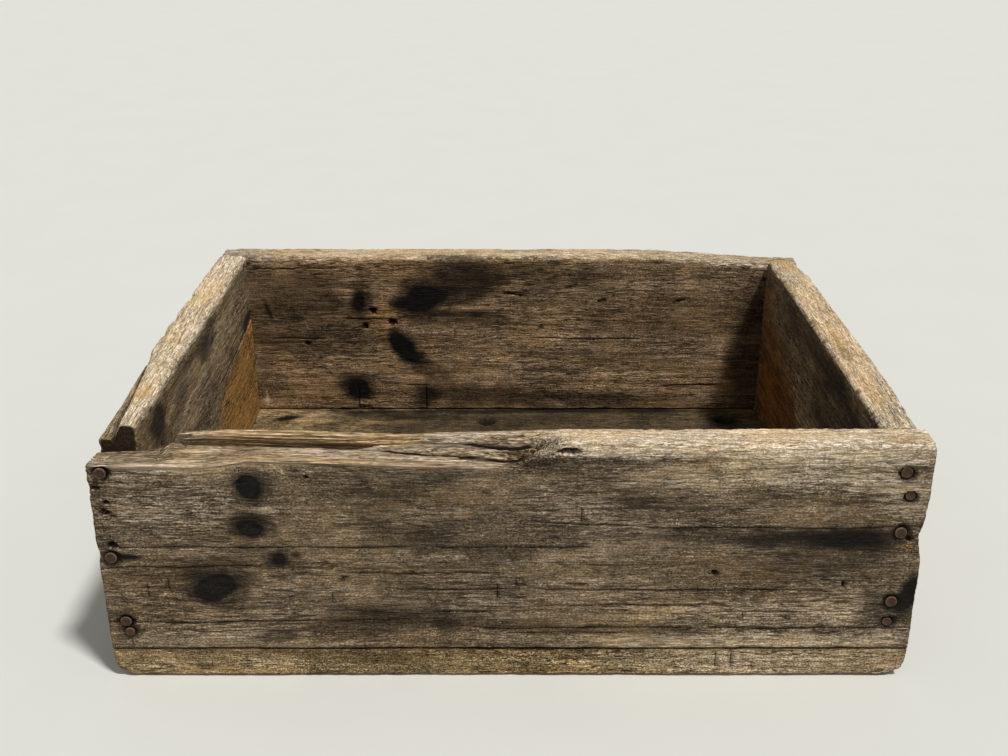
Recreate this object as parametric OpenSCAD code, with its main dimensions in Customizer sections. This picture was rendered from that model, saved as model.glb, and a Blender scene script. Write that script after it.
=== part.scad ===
// Open-topped crate of rough boards, nailed at its corners and heavily weathered.
// Millimetres. The origin is at the middle of the underside, +X to the right,
// +Y to the back and +Z up.

/* [Crate] */
// Length over the ends of the long boards
crate_length = 512; // [430:1:600]
// Depth over the faces of the long boards
crate_depth = 389; // [340:1:440]
// Height of the front board and the right end board
wall_height = 147; // [125:1:185]
// How far the left end board stands above them
left_end_rise = 2.5; // [0:0.5:5]
// How far the back board stands above them
back_rise = 1.5; // [0:0.5:4]

/* [Boards] */
// Thickness of the front and back boards
long_board_t = 23; // [19:0.5:27]
// Thickness of the left end board
left_end_t = 25; // [21:0.5:30]
// Thickness of the right end board
right_end_t = 23; // [20:0.5:28]
// How far the long boards run past the left end board
left_overhang = 2; // [0:0.5:6]
// How far the long boards run past the right end board
right_overhang = 6.5; // [0:0.5:9]
// Thickness of the bottom planks
bottom_t = 22; // [17:0.5:27]
// Width of the front bottom plank and of the rear one
outer_plank_w = 130; // [116:1:144]
// Shrinkage gap between neighbouring bottom planks
plank_gap = 1.5; // [0.5:0.1:3]

/* [Worn edges] */
// Radius of the top edges on the outside of the walls
outer_arris_r = 5; // [2:0.5:7]
// Radius of the top edges on the inside of the walls
inner_arris_r = 3; // [1:0.5:5]
// Radius of the back board's inner top edge, rubbed down further
back_inner_arris_r = 8; // [4:0.5:10]
// Radius of the upper corners of the long boards, seen from the front
board_corner_r = 8; // [3:0.5:12]
// Radius of the lower corners of the bottom planks, seen from the front
plank_corner_r = 10; // [4:0.5:14]
// Radius of the lower outside edges of the bottom
plank_arris_r = 3; // [1:0.5:5]
// How far the back board's top falls at its right end
back_fall = 8.5; // [1:0.5:12]
// Length over which the back board's top falls
back_fall_length = 140; // [60:1:180]

/* [Riven front] */
// Length of the riven top edge, from the left end of the front board
riven_length = 270; // [240:1:300]
// Height of wood lost at the left end
riven_depth = 15; // [10:0.5:18]
// Extra height of wood lost at the front of the riven face, near its right end
riven_dip = 3; // [0:0.5:6]
// Height of the swell in the riven face
riven_swell = 3; // [0:0.5:4]
// Distance from the left end to the tip of the splinter
splinter_start = 48; // [36:1:70]
// Length over which the splinter stands clear of the board
splinter_free = 128; // [100:1:140]
// Thickness of the splinter, front to back
splinter_t = 7; // [5:0.5:10]
// Height of the splinter at its tip
splinter_tip_h = 5; // [3:0.5:6]
// How far the splinter's top lies under the top of the board
splinter_drop = 2; // [1:0.5:3]

/* [Split left end] */
// Length of the strip split off the top of the left end board
split_length = 125; // [70:1:160]
// Width of that strip at the front
split_w = 12; // [7:0.5:15]
// Depth of that strip
split_depth = 9.5; // [4:0.5:12]

/* [Bite in the front board's right end] */
// Depth of the bite along the board
bite_depth = 3.5; // [2:0.5:9]
// Height of the bite
bite_h = 14; // [8:0.5:20]
// Height of the middle of the bite above the foot of the board
bite_rise = 82; // [60:1:95]

/* [Nails] */
// Diameter of a nail's shank
shank_d = 3.4; // [2.8:0.1:4]
// Diameter of a large nail's head
head_d = 7.6; // [6.8:0.1:8.4]
// Diameter of a small nail's head
small_head_d = 6.2; // [5.2:0.1:6.6]
// Thickness of a nail's head
head_t = 1.4; // [1:0.1:2]
// Length of a nail under its head
nail_length = 60; // [46:1:66]
// Depth of a sunk head's face below the wood
head_sink = 1; // [0.4:0.1:2]
// How far a proud head stands out of the wood
head_stand = 0.7; // [0.2:0.1:0.9]
// Distance of a nail from the edge of its board
nail_edge = 20; // [14:1:26]
// Height of the left middle nail above the foot of the front board
left_middle_rise = 68; // [50:1:85]
// Height of the right middle nail above the foot of the front board
right_middle_rise = 86; // [60:1:92]
// Height of the right lower nail above the foot of the front board
right_lower_rise = 36; // [32:1:50]
// Distance from the right upper nail down to the small nail under it
small_nail_drop = 16; // [12:1:20]

/* [Hidden] */
$fn = 48;

// Gap between a nail and its hole, and between its head and the rim of its recess
shank_fit = 0.05;
head_fit = 0.3;
// How far a cutting shape runs past the face that it cuts
over = 2;
// Flat of a nail's rim and length of its point
rim_chamfer = 0.4;
point_length = 6;
// Bare wood left between the heads of two nails that touch, and between two nails' shanks
heads_apart = 0.3;
shanks_apart = 8;

// Outer faces of the crate
x_left = -crate_length / 2;
x_right = crate_length / 2;
y_front = -crate_depth / 2;
y_back = crate_depth / 2;
z_foot = bottom_t;
z_top = bottom_t + wall_height;
z_left_top = z_top + left_end_rise;
z_back_top = z_top + back_rise;

// Inner faces of the long boards, and the faces of the end boards
y_front_in = y_front + long_board_t;
y_back_in = y_back - long_board_t;
x_left_out = x_left + left_overhang;
x_left_in = x_left_out + left_end_t;
x_right_out = x_right - right_overhang;
x_right_in = x_right_out - right_end_t;

// Middle planes of the walls, where the nails go
x_left_mid = (x_left_out + x_left_in) / 2;
x_right_mid = (x_right_in + x_right_out) / 2;
y_front_mid = (y_front + y_front_in) / 2;
y_back_mid = (y_back + y_back_in) / 2;

// The riven top of the front board
z_riven = z_top - riven_depth;
x_riven_end = x_left + riven_length;
x_splinter = x_left + splinter_start;
x_splinter_root = x_splinter + splinter_free;
riven_ramp = 22;
root_ramp = 45;
root_depth = 30;

// Colours of the weathered wood and of the nails
grey_wood = [0.42, 0.37, 0.31];
dark_wood = [0.36, 0.29, 0.21];
tan_wood = [0.56, 0.47, 0.35];
rust = [0.33, 0.25, 0.22];
dull_steel = [0.42, 0.40, 0.38];

// How far the nails through the front stray from the middle planes of the end boards, top to foot
left_stray = [-5.3, -6.2, -3.3];
right_stray = [0.5, 1.7, 2.1];
right_small_stray = [4.8, 1.9];

// Nails through the front: [distance right of the middle plane, height, depth of the head's face].
// The small left nail was driven beside the lowest large one, its head close against it.
low_nail = [left_stray[2], z_foot + nail_edge, head_sink];
pair_angle = -71;
pair_reach = (head_d + small_head_d) / 2 + heads_apart;
front_left = [
    [left_stray[0], z_top - nail_edge, -head_stand],
    [left_stray[1], z_foot + left_middle_rise, -head_stand],
    low_nail
];
front_left_small = [
    [low_nail.x + pair_reach * cos(pair_angle), low_nail.y + pair_reach * sin(pair_angle), -head_stand]
];
front_right = [
    [right_stray[0], z_top - nail_edge, head_sink],
    [right_stray[1], z_foot + right_middle_rise, -head_stand],
    [right_stray[2], z_foot + right_lower_rise, -head_stand]
];
front_right_small = [
    [right_small_stray[0], z_top - nail_edge - small_nail_drop, head_sink],
    [right_small_stray[1], z_foot + nail_edge, head_sink]
];

// Nails through the back, evenly spaced up each corner
back_count = 4;
back_step = (wall_height + back_rise - 2 * nail_edge) / (back_count - 1);
back_nails = [for (i = [0:back_count - 1]) [0, z_foot + nail_edge + i * back_step, head_sink]];

// Places of the nails through the bottom: across the planks, and along the long boards
first_plank_nail = nail_length + shanks_apart;
middle_plank_w = crate_depth - 2 * outer_plank_w - 2 * plank_gap;
front_plank_ys = [y_front + first_plank_nail, y_front + outer_plank_w - nail_edge];
rear_plank_ys = [y_back - first_plank_nail, y_back - outer_plank_w + nail_edge];
middle_plank_ys = [nail_edge - middle_plank_w / 2, middle_plank_w / 2 - nail_edge];
plank_ys = concat(front_plank_ys, middle_plank_ys, rear_plank_ys);
long_board_xs = [-crate_length / 3, 0, crate_length / 3];

// Extrude an outline drawn in Y and Z along X
module along_x(x0, x1) {
    translate([x0, 0, 0])
        rotate([90, 0, 90])
            linear_extrude(x1 - x0) children();
}

// Extrude an outline drawn in X and Z along Y
module along_y(y0, y1) {
    translate([0, y1, 0])
        rotate([90, 0, 0])
            linear_extrude(y1 - y0) children();
}

// What a worn corner at the origin has lost, for wood that lies towards +X and +Y
module corner_waste(r) {
    difference() {
        translate([-over, -over]) square(r + over);
        translate([r, r]) circle(r);
    }
}

// Rectangle from low to high; radii are those of the corners, anticlockwise from low
module worn_rect(low, high, radii) {
    corners = [low, [high.x, low.y], high, [low.x, high.y]];
    difference() {
        translate(low) square(high - low);
        for (i = [0:3])
            if (radii[i] > 0)
                translate(corners[i]) rotate(90 * i) corner_waste(radii[i]);
    }
}

// A nail along +Z, its head's seat at the origin
module nail(d) {
    rotate_extrude()
        polygon([
            [0, -head_t],
            [d / 2 - rim_chamfer, -head_t],
            [d / 2, rim_chamfer - head_t],
            [d / 2, 0],
            [shank_d / 2, 0],
            [shank_d / 2, nail_length - point_length],
            [0, nail_length]
        ]);
}

// The hole that a nail fills, with the recess of its head
module nail_hole(d) {
    shank_r = shank_d / 2 + shank_fit;
    body_end = nail_length - point_length;
    translate([0, 0, -over]) cylinder(r = shank_r, h = body_end + over);
    translate([0, 0, body_end]) cylinder(r1 = shank_r, r2 = 0, h = point_length + shank_fit);
    translate([0, 0, -head_t - 2 * over]) cylinder(r = d / 2 + head_fit, h = head_t + 2 * over);
}

// Put children at each nail through the front, about the plane x_mid
module at_front(x_mid, nails) {
    for (n = nails)
        translate([x_mid + n.x, y_front + n.z + head_t, n.y]) rotate([-90, 0, 0]) children();
}

// Put children at each nail through the back
module at_back(x_mid, nails) {
    for (n = nails)
        translate([x_mid + n.x, y_back - n.z - head_t, n.y]) rotate([90, 0, 0]) children();
}

// Put children at each nail through the bottom
module at_bottom(xs, ys) {
    for (x = xs, y = ys)
        translate([x, y, head_sink + head_t]) children();
}

// What is gone from the front board's riven top, through its whole thickness
module riven_waste() {
    x_swell = (x_splinter + x_splinter_root) / 2;
    along_y(y_front - over, y_front_in + over)
        polygon([
            [x_left - over, z_riven],
            [x_splinter, z_riven],
            [x_swell, z_riven + riven_swell],
            [x_splinter_root, z_riven + riven_swell / 2],
            [x_riven_end - riven_ramp, z_riven - riven_dip],
            [x_riven_end, z_top + over],
            [x_left - over, z_top + over]
        ]);
}

// The splinter, and the sloping root that joins it to the board
module splinter() {
    z_peak = z_top - splinter_drop;
    y_face = y_front_in - splinter_t;
    z_under = z_riven + riven_swell + 1;
    along_y(y_face, y_front_in)
        polygon([
            [x_splinter, z_peak - splinter_tip_h],
            [x_splinter + splinter_tip_h / 2, z_peak - splinter_tip_h / 3],
            [x_splinter + 3 * splinter_tip_h, z_peak],
            [x_splinter_root, z_peak],
            [x_riven_end, z_top],
            [x_riven_end, z_riven],
            [x_splinter_root, z_riven],
            [x_splinter_root, z_under]
        ]);
    intersection() {
        along_x(x_splinter_root, x_riven_end)
            polygon([
                [y_front, z_riven - root_depth],
                [y_front, z_riven - riven_dip],
                [y_face, z_peak - splinter_drop],
                [y_front_in, z_peak],
                [y_front_in, z_riven - root_depth]
            ]);
        along_y(y_front - over, y_front_in + over)
            polygon([
                [x_splinter_root, z_riven - root_depth],
                [x_splinter_root, z_riven],
                [x_splinter_root + root_ramp, z_top],
                [x_riven_end, z_top],
                [x_riven_end, z_riven - root_depth]
            ]);
    }
}

// What is broken out of the front board's right end
module end_bite() {
    z_mid = z_foot + bite_rise;
    along_y(y_front - over, y_front_in + over)
        polygon([
            [x_right + over, z_mid + bite_h / 2],
            [x_right - bite_depth, z_mid + bite_h / 4],
            [x_right - bite_depth, z_mid - bite_h / 8],
            [x_right - bite_depth / 3, z_mid - bite_h / 2],
            [x_right + over, z_mid - bite_h / 2]
        ]);
}

module front_board() {
    color(grey_wood)
        difference() {
            intersection() {
                along_x(x_left, x_right)
                    worn_rect(
                        [y_front, z_foot], [y_front_in, z_top],
                        [0, 0, inner_arris_r / 3, outer_arris_r]
                    );
                along_y(y_front, y_front_in)
                    worn_rect([x_left, z_foot], [x_right, z_top], [0, 0, board_corner_r, 0]);
                union() {
                    difference() {
                        translate([x_left, y_front, z_foot]) cube([crate_length, long_board_t, wall_height]);
                        riven_waste();
                    }
                    splinter();
                }
            }
            end_bite();
            at_front(x_left_mid, front_left) nail_hole(head_d);
            at_front(x_left_mid, front_left_small) nail_hole(small_head_d);
            at_front(x_right_mid, front_right) nail_hole(head_d);
            at_front(x_right_mid, front_right_small) nail_hole(small_head_d);
            at_bottom(long_board_xs, [y_front_mid]) nail_hole(head_d);
        }
}

module back_board() {
    x_fall = x_right - back_fall_length;
    color(dark_wood)
        difference() {
            intersection() {
                along_x(x_left, x_right)
                    worn_rect(
                        [y_back_in, z_foot], [y_back, z_back_top],
                        [0, 0, outer_arris_r, back_inner_arris_r]
                    );
                along_y(y_back_in, y_back)
                    worn_rect([x_left, z_foot], [x_right, z_back_top], [0, 0, 0, board_corner_r]);
            }
            along_y(y_back_in - over, y_back + over)
                polygon([
                    [x_fall, z_back_top],
                    [x_right, z_back_top - back_fall],
                    [x_right + over, z_back_top + over],
                    [x_fall, z_back_top + over]
                ]);
            at_back(x_left_mid, back_nails) nail_hole(head_d);
            at_back(x_right_mid, back_nails) nail_hole(head_d);
            at_bottom(long_board_xs, [y_back_mid]) nail_hole(head_d);
        }
}

module left_end_board() {
    color(grey_wood)
        difference() {
            along_y(y_front_in, y_back_in)
                worn_rect(
                    [x_left_out, z_foot], [x_left_in, z_left_top],
                    [0, 0, inner_arris_r, outer_arris_r]
                );
            translate([0, 0, z_left_top - split_depth])
                linear_extrude(split_depth + over)
                    polygon([
                        [x_left_out - over, y_front_in - over],
                        [x_left_out + split_w, y_front_in - over],
                        [x_left_out + split_w, y_front_in],
                        [x_left_out, y_front_in + split_length],
                        [x_left_out - over, y_front_in + split_length]
                    ]);
            at_front(x_left_mid, front_left) nail_hole(head_d);
            at_front(x_left_mid, front_left_small) nail_hole(small_head_d);
            at_back(x_left_mid, back_nails) nail_hole(head_d);
            at_bottom([x_left_mid], plank_ys) nail_hole(head_d);
        }
}

module right_end_board() {
    color(grey_wood)
        difference() {
            along_y(y_front_in, y_back_in)
                worn_rect([x_right_in, z_foot], [x_right_out, z_top], [0, 0, outer_arris_r, inner_arris_r]);
            at_front(x_right_mid, front_right) nail_hole(head_d);
            at_front(x_right_mid, front_right_small) nail_hole(small_head_d);
            at_back(x_right_mid, back_nails) nail_hole(head_d);
            at_bottom([x_right_mid], plank_ys) nail_hole(head_d);
        }
}

// A bottom plank from y0 to y1; radii are those of its lower edges at y0 and y1
module bottom_plank(y0, y1, r0, r1) {
    color(tan_wood)
        difference() {
            intersection() {
                along_x(x_left, x_right)
                    worn_rect([y0, 0], [y1, bottom_t], [r0, r1, 0, 0]);
                along_y(y0, y1)
                    worn_rect([x_left, 0], [x_right, bottom_t], [plank_corner_r, plank_corner_r, 0, 0]);
            }
            at_bottom([x_left_mid, x_right_mid], plank_ys) nail_hole(head_d);
            at_bottom(long_board_xs, [y_front_mid, y_back_mid]) nail_hole(head_d);
        }
}

module front_bottom_plank() {
    bottom_plank(y_front, y_front + outer_plank_w, plank_arris_r, 0);
}

module middle_bottom_plank() {
    bottom_plank(-middle_plank_w / 2, middle_plank_w / 2, 0, 0);
}

module rear_bottom_plank() {
    bottom_plank(y_back - outer_plank_w, y_back, 0, plank_arris_r);
}

module front_left_nails() {
    color(rust) at_front(x_left_mid, front_left) nail(head_d);
}

module front_left_small_nail() {
    color(dull_steel) at_front(x_left_mid, front_left_small) nail(small_head_d);
}

module front_right_nails() {
    color(rust) at_front(x_right_mid, front_right) nail(head_d);
}

module front_right_small_nails() {
    color(dull_steel) at_front(x_right_mid, front_right_small) nail(small_head_d);
}

module back_left_nails() {
    color(rust) at_back(x_left_mid, back_nails) nail(head_d);
}

module back_right_nails() {
    color(rust) at_back(x_right_mid, back_nails) nail(head_d);
}

module bottom_left_nails() {
    color(rust) at_bottom([x_left_mid], plank_ys) nail(head_d);
}

module bottom_right_nails() {
    color(rust) at_bottom([x_right_mid], plank_ys) nail(head_d);
}

module bottom_front_nails() {
    color(rust) at_bottom(long_board_xs, [y_front_mid]) nail(head_d);
}

module bottom_rear_nails() {
    color(rust) at_bottom(long_board_xs, [y_back_mid]) nail(head_d);
}

front_board();
back_board();
left_end_board();
right_end_board();
front_bottom_plank();
middle_bottom_plank();
rear_bottom_plank();
front_left_nails();
front_left_small_nail();
front_right_nails();
front_right_small_nails();
back_left_nails();
back_right_nails();
bottom_left_nails();
bottom_right_nails();
bottom_front_nails();
bottom_rear_nails();
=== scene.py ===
"""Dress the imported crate: weathered boards, a riven splinter, rusted nails and a plain stage."""

import math
from collections import namedtuple
from dataclasses import dataclass

import bmesh
import bpy
import numpy as np
from bpy.props import FloatProperty, FloatVectorProperty, PointerProperty
from mathutils import Matrix, Vector


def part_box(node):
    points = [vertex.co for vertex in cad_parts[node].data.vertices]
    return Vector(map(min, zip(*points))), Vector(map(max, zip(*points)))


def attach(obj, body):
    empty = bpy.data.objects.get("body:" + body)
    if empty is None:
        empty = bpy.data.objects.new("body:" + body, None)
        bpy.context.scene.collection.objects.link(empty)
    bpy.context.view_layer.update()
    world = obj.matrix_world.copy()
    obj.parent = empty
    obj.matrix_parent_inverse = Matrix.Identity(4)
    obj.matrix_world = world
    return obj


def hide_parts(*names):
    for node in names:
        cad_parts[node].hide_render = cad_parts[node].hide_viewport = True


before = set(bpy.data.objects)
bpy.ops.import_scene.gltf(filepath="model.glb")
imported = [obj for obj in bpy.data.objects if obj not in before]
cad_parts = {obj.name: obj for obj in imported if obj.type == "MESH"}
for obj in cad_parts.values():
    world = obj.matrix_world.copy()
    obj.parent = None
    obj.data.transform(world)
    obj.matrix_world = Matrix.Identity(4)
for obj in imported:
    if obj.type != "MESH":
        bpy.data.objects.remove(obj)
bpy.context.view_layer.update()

bl_info = {
    "name": "Weathered Crate",
    "version": (1, 0, 0),
    "blender": (4, 5, 0),
    "location": "3D View > Sidebar > Crate",
    "description": "Builds a weathered board crate around its packed frame",
    "category": "Object",
}

MM = 0.001
BODY = "root"


# Settings that a user would change

def colour(name, description, default):
    """A colour property, in linear light."""
    return FloatVectorProperty(
        name=name, description=description, default=default, subtype="COLOR", size=3, min=0.0, max=1.0
    )


def length(name, description, default):
    """A length property, in metres."""
    return FloatProperty(name=name, description=description, default=default, unit="LENGTH", precision=5)


def angle(name, description, degrees):
    """An angle property, with its default in degrees."""
    return FloatProperty(
        name=name, description=description, default=math.radians(degrees), subtype="ANGLE"
    )


class CrateWood(bpy.types.PropertyGroup):
    """Colours and wear of the boards."""

    grey: colour("Grey wood", "Weathered face of the front board", (0.281, 0.210, 0.132))
    brown: colour("Brown wood", "Sheltered face of the back board", (0.574, 0.377, 0.200))
    ash: colour("Ash wood", "Face of the end boards", (0.379, 0.272, 0.146))
    tan: colour("Tan wood", "Rubbed face of the bottom planks", (0.538, 0.374, 0.172))
    film: colour("Film", "Thin grey film of dirt over the wood", (0.156, 0.126, 0.082))
    ochre: colour("Ochre", "Yellow-brown patches in the wood", (0.290, 0.180, 0.072))
    dark: colour("Dark grain", "Old dirt in the grain", (0.020, 0.012, 0.006))
    # Also the colour of the painted shade and shadow among the stain marks.
    stain: colour("Stain", "Soaked-in stains and knots", (0.0055, 0.0060, 0.0052))
    pale: colour("Pale wood", "Wood rubbed bare on the edges", (1.000, 0.815, 0.570))
    gold: colour("Golden wood", "Golden patches on the rubbed edges", (0.840, 0.560, 0.250))
    warm: colour("Warm wood", "Freshly riven wood", (0.600, 0.310, 0.075))
    # The right end's riven wood, a darker and more orange copy of the warm wood: painted shade, as that
    # face is turned from the light.
    umber_in_shade: colour("Umber wood", "Dark orange wood inside the right end", (0.500, 0.170, 0.016))
    relief: length("Relief", "Depth of the raised grain", 0.0005)
    bump: length("Bump", "Height of the finest grain", 0.0007)


class CrateNails(bpy.types.PropertyGroup):
    """Colours of the nails."""

    iron: colour("Iron", "Bare worn iron", (0.095, 0.055, 0.034))
    rust: colour("Rust", "Old brown rust", (0.056, 0.027, 0.014))
    # Partly worn iron and partly a painted highlight on the rim of each head.
    rim: colour("Rim", "Iron rubbed bright on the rim of a head", (0.205, 0.145, 0.105))
    dent: length("Dents", "Depth of the hammer marks", 0.00018)


class CrateStage(bpy.types.PropertyGroup):
    """Camera, floor and light."""

    camera_back: length("Camera distance", "Camera in front of the crate's middle", 0.8263)
    camera_up: length("Camera height", "Camera above the floor", 0.4845)
    camera_side: length("Camera offset", "Camera to the right of the middle", -0.00395)
    camera_pitch: angle("Camera pitch", "Tilt below the horizon", 23.36)
    focal_pixels: FloatProperty(
        name="Focal length", description="Focal length in pixels of a picture 1008 wide", default=1188.0
    )
    floor: colour("Floor", "Pale floor", (0.80, 0.795, 0.725))
    backdrop: colour("Backdrop", "Pale surroundings", (0.66, 0.68, 0.70))
    key: FloatProperty(name="Key light", description="Strength of the soft light overhead", default=2.35)
    key_spread: angle("Key spread", "Width of the light overhead", 7.0)
    sky: FloatProperty(name="Sky", description="Strength of the even light all round", default=0.28)


# Seeded noise and falloffs

def smooth(t):
    """Ease from 0 to 1."""
    t = np.clip(t, 0.0, 1.0)
    return t * t * (3.0 - 2.0 * t)


def ramp(x, start, end):
    """0 at start, 1 at end, eased."""
    return smooth((x - start) / (end - start))


def lattice(i, j, k, seed):
    """A fixed random value from -1 to 1 at each whole-number point."""
    n = (i * 374761393 + j * 668265263 + k * 1440662683 + seed * 974634777) & 0xFFFFFFFF
    n = ((n ^ (n >> 13)) * 1274126177) & 0xFFFFFFFF
    n = n ^ (n >> 16)
    return (n & 0xFFFFFF) / float(0x7FFFFF) - 1.0


def noise(p, seed):
    """Smooth value noise of points p, from -1 to 1."""
    cell = np.floor(p).astype(np.int64)
    f = p - cell
    f = f * f * (3.0 - 2.0 * f)
    total = np.zeros(len(p))
    for corner in range(8):
        step = np.array([corner & 1, corner >> 1 & 1, corner >> 2 & 1])
        weight = np.prod(np.where(step, f, 1.0 - f), axis=1)
        total += weight * lattice(*(cell + step).T, seed)
    return total


def fractal(p, seed, octaves=3):
    """Noise with finer and weaker layers added."""
    total = np.zeros(len(p))
    strength = 1.0
    for octave in range(octaves):
        total += strength * noise(p * 2.0**octave, seed + octave)
        strength *= 0.5
    return total / (2.0 - 2.0 ** (1 - octaves))


def line_noise(x, scale, seed):
    """Noise along one axis."""
    still = np.zeros(len(x))
    return noise(np.column_stack([x * scale, still, still]), seed)


# What a board carries, in millimetres of the frame. A mark lies on the face that shows,
# on the face behind, or on the top or low edge, where its second place is measured through the board. A
# stroke is a crack across the grain, so its place is along the board and its spans are across it.

Mark = namedtuple(
    "Mark", "where kind along across half_along half_across strength tilt", defaults=(1.0, 0.0)
)
Crack = namedtuple("Crack", "across spans depth rise bend where", defaults=(1.5, 0.0, 0.0, "face"))


def marks(**groups):
    """Marks from rows of place, half sizes, strength and tilt, each group named by its side and kind."""
    return tuple(Mark(*name.split("_"), *row) for name, rows in groups.items() for row in rows)


@dataclass
class Board:
    """A board's node, how it lies and what it carries.

    Its face is the low or the high side that shows. Its radii round the foot and then the top of its
    section, each on the low side and on the high side. Its spacing is that of its points along, across
    and through it.
    """

    name: str
    node: str
    slot: str
    axes: tuple
    face: int
    radii: tuple
    seed: int
    cracks: tuple
    marks: tuple
    shape: object
    spacing: tuple
    pale_top: float = 1.0
    strokes: tuple = ()
    ledges: tuple = ()
    ledge_span: tuple = (0.0, 0.0, 0.0, 0.0)
    crisp: tuple = (0.0, 0.0)
    fine: float = 1.0
    end_dirt: float = 0.88


FRONT_CRACKS = (
    Crack(34.2, ((-4, 74),), 1.6),
    Crack(37.4, ((-26, 116), (124, 238)), 2.8, -0.8),
    Crack(42.8, ((-256, -66),), 2.4, 2.6, 1.6),
    Crack(49.7, ((-104, -70), (-50, -10), (128, 190)), 2.2, -0.4),
    Crack(55.2, ((14, 138),), 2.0, -0.4),
    Crack(66.4, ((-72, 8), (14, 204)), 2.2, -0.6),
    Crack(78.4, ((-139, -120), (-103, -2), (118, 133)), 1.2, -0.8),
    Crack(83.4, ((-251, -158),), 2.4, 2.8),
    Crack(86.4, ((-50, -33), (8, 54)), 1.2),
    Crack(97.5, ((-250, -60), (-48, 52)), 3.0, -0.2, 0.6),
    Crack(112.2, ((12, 242),), 4.0, -4.2, 2.5),
)

FRONT_STROKES = (
    Crack(-227.8, ((61, 72),), 1.1),
    Crack(-214.3, ((65, 75),), 1.1),
    Crack(-112.0, ((56, 65),), 1.0),
    Crack(-8.2, ((58.5, 71.5),), 1.5),
    Crack(3.6, ((69, 75.5),), 1.0),
    Crack(43.5, ((115, 126),), 1.4),
    Crack(147.4, ((43, 50.5),), 1.4),
)

FRONT_MARKS = marks(
    face_knot=[
        (-158.5, 139, 7.2, 9.0, 1.0, 0.35), (-185, 67.6, 12.6, 8.6, 1.0, 0.6),
        (-160, 110.6, 7.4, 5.0, 1.0, -0.2),
    ],
    face_stain=[
        (-143.3, 89.5, 6.4, 5.4, 0.92), (-143, 90, 13, 9, 0.50), (-133, 91.5, 4.5, 3.4, 0.6),
        (-150, 31.5, 16, 5, 0.55), (-185, 71, 36, 25, 0.50), (-185, 70, 25, 16, 0.62),
        (-160, 112, 17, 12, 0.75), (-156, 138, 15, 16, 0.70), (-88, 132, 22, 22, 0.22),
        (-40, 124, 72, 27, 0.26), (-45, 70, 76, 26, 0.16), (-58, 103, 30, 10, 0.38), (-10, 92, 24, 9, 0.40),
        (-120, 104, 26, 10, 0.25), (-80, 42, 46, 15, 0.42), (-85, 44, 70, 15, 0.36), (-40, 40, 10, 9, 0.45),
        (14, 41, 26, 7, 0.42), (28, 151, 28, 9, 0.28), (-50, 148, 54, 6, 0.38), (130, 106, 80, 6, 0.35),
        (176, 103, 62, 8, 0.52), (214, 103, 36, 9, 0.68), (200, 96, 54, 20, 0.36), (84, 134, 34, 16, 0.35),
        (60, 102, 70, 14, 0.25), (180, 82, 60, 12, 0.34), (251, 62, 7, 18, 1.0, -0.2),
        (236, 50, 18, 14, 0.55), (95, 33, 34, 8, 0.40), (-238, 90, 11, 2.4),
    ],
    face_pale=[
        (-208, 131, 52, 28, 0.30), (-185, 154, 76, 7, 0.35), (60, 166, 60, 8, 0.75),
        (180, 164, 84, 10, 0.85), (190, 150, 76, 16, 0.50), (100, 146, 40, 16, 0.35),
        (238, 130, 20, 18, 0.45), (-215, 40, 46, 20, 0.25), (165, 48, 90, 14, 0.42),
        (150, 28, 120, 8, 0.60), (-150, 124, 12, 4, 0.60), (-176, 158, 3, 2.2, 0.90),
    ],
    face_warm=[
        (150, 50, 100, 30, 0.17), (-205, 62, 48, 36, 0.20), (-180, 108, 30, 7, 0.15),
        (-70, 38, 80, 18, 0.18), (116, 92, 24, 8, 0.12), (246, 97, 5, 4, 0.50), (160, 78, 6, 4, 0.25),
    ],
    top_warm=[
        (-104, -191, 24, 2.4, 0.95), (-150, -190, 22, 1.8, 0.40), (236, -186, 13, 7, 0.55),
        (70, -178, 30, 4, 0.30),
    ],
    face_crush=[
        (14, 159, 20, 11), (-252, 125, 10, 30, 0.55), (-250, 95, 12, 12, 0.6), (-252, 150, 9, 9, 0.6),
        (248, 100, 10, 14), (252, 60, 6, 20, 0.6), (165, 40, 120, 16, 0.30), (-70, 36, 70, 14, 0.55),
        (-215, 48, 50, 26, 0.25),
    ],
    top_pale=[(150, -183, 110, 14, 0.70)],
    face_hole=[
        (-248, 121.9, 3.4, 1.8), (-246, 98.5, 3.6, 1.8), (-252, 138.5, 2.6, 1.4), (-246, 128.7, 1.8, 1.1),
        (-242.3, 119, 2.0, 1.0), (246, 103, 2.6, 1.6), (127.3, 78.2, 1.9, 1.0), (209.4, 69.7, 1.0, 2.0),
        (-123.4, 146.1, 1.1, 0.9), (35, 163.5, 7.0, 1.7),
    ],
    face_dent=[
        (6.5, 73.8, 3.2, 0.9, 1.0, -0.5), (6.0, 70.0, 4.0, 0.9), (5.5, 60.2, 4.2, 1.0),
        (42, 70.8, 7.0, 0.9), (-104, 75.2, 3.0, 1.0, 1.0, 0.4),
    ],
)

BACK_CRACKS = (
    Crack(46.0, ((-94, -72), (140, 196)), 2.0),
    Crack(72.0, ((-256, -40), (60, 200)), 2.0, 3.0, 1.0, "back"),
    Crack(92.0, ((-214, -160), (20, 120)), 1.0),
    Crack(111.0, ((-150, -104),), 2.2, -0.8),
    Crack(119.0, ((-10, 256),), 2.6, -2.0, 1.0, "back"),
    Crack(136.0, ((-8, 20),), 2.4, -2.0),
    Crack(158.5, ((-229, -150),), 2.6, 0.3),
)

BACK_STROKES = (
    Crack(-137.5, ((22, 46),), 2.2),
    Crack(-75.5, ((22, 45),), 2.0),
)

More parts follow.
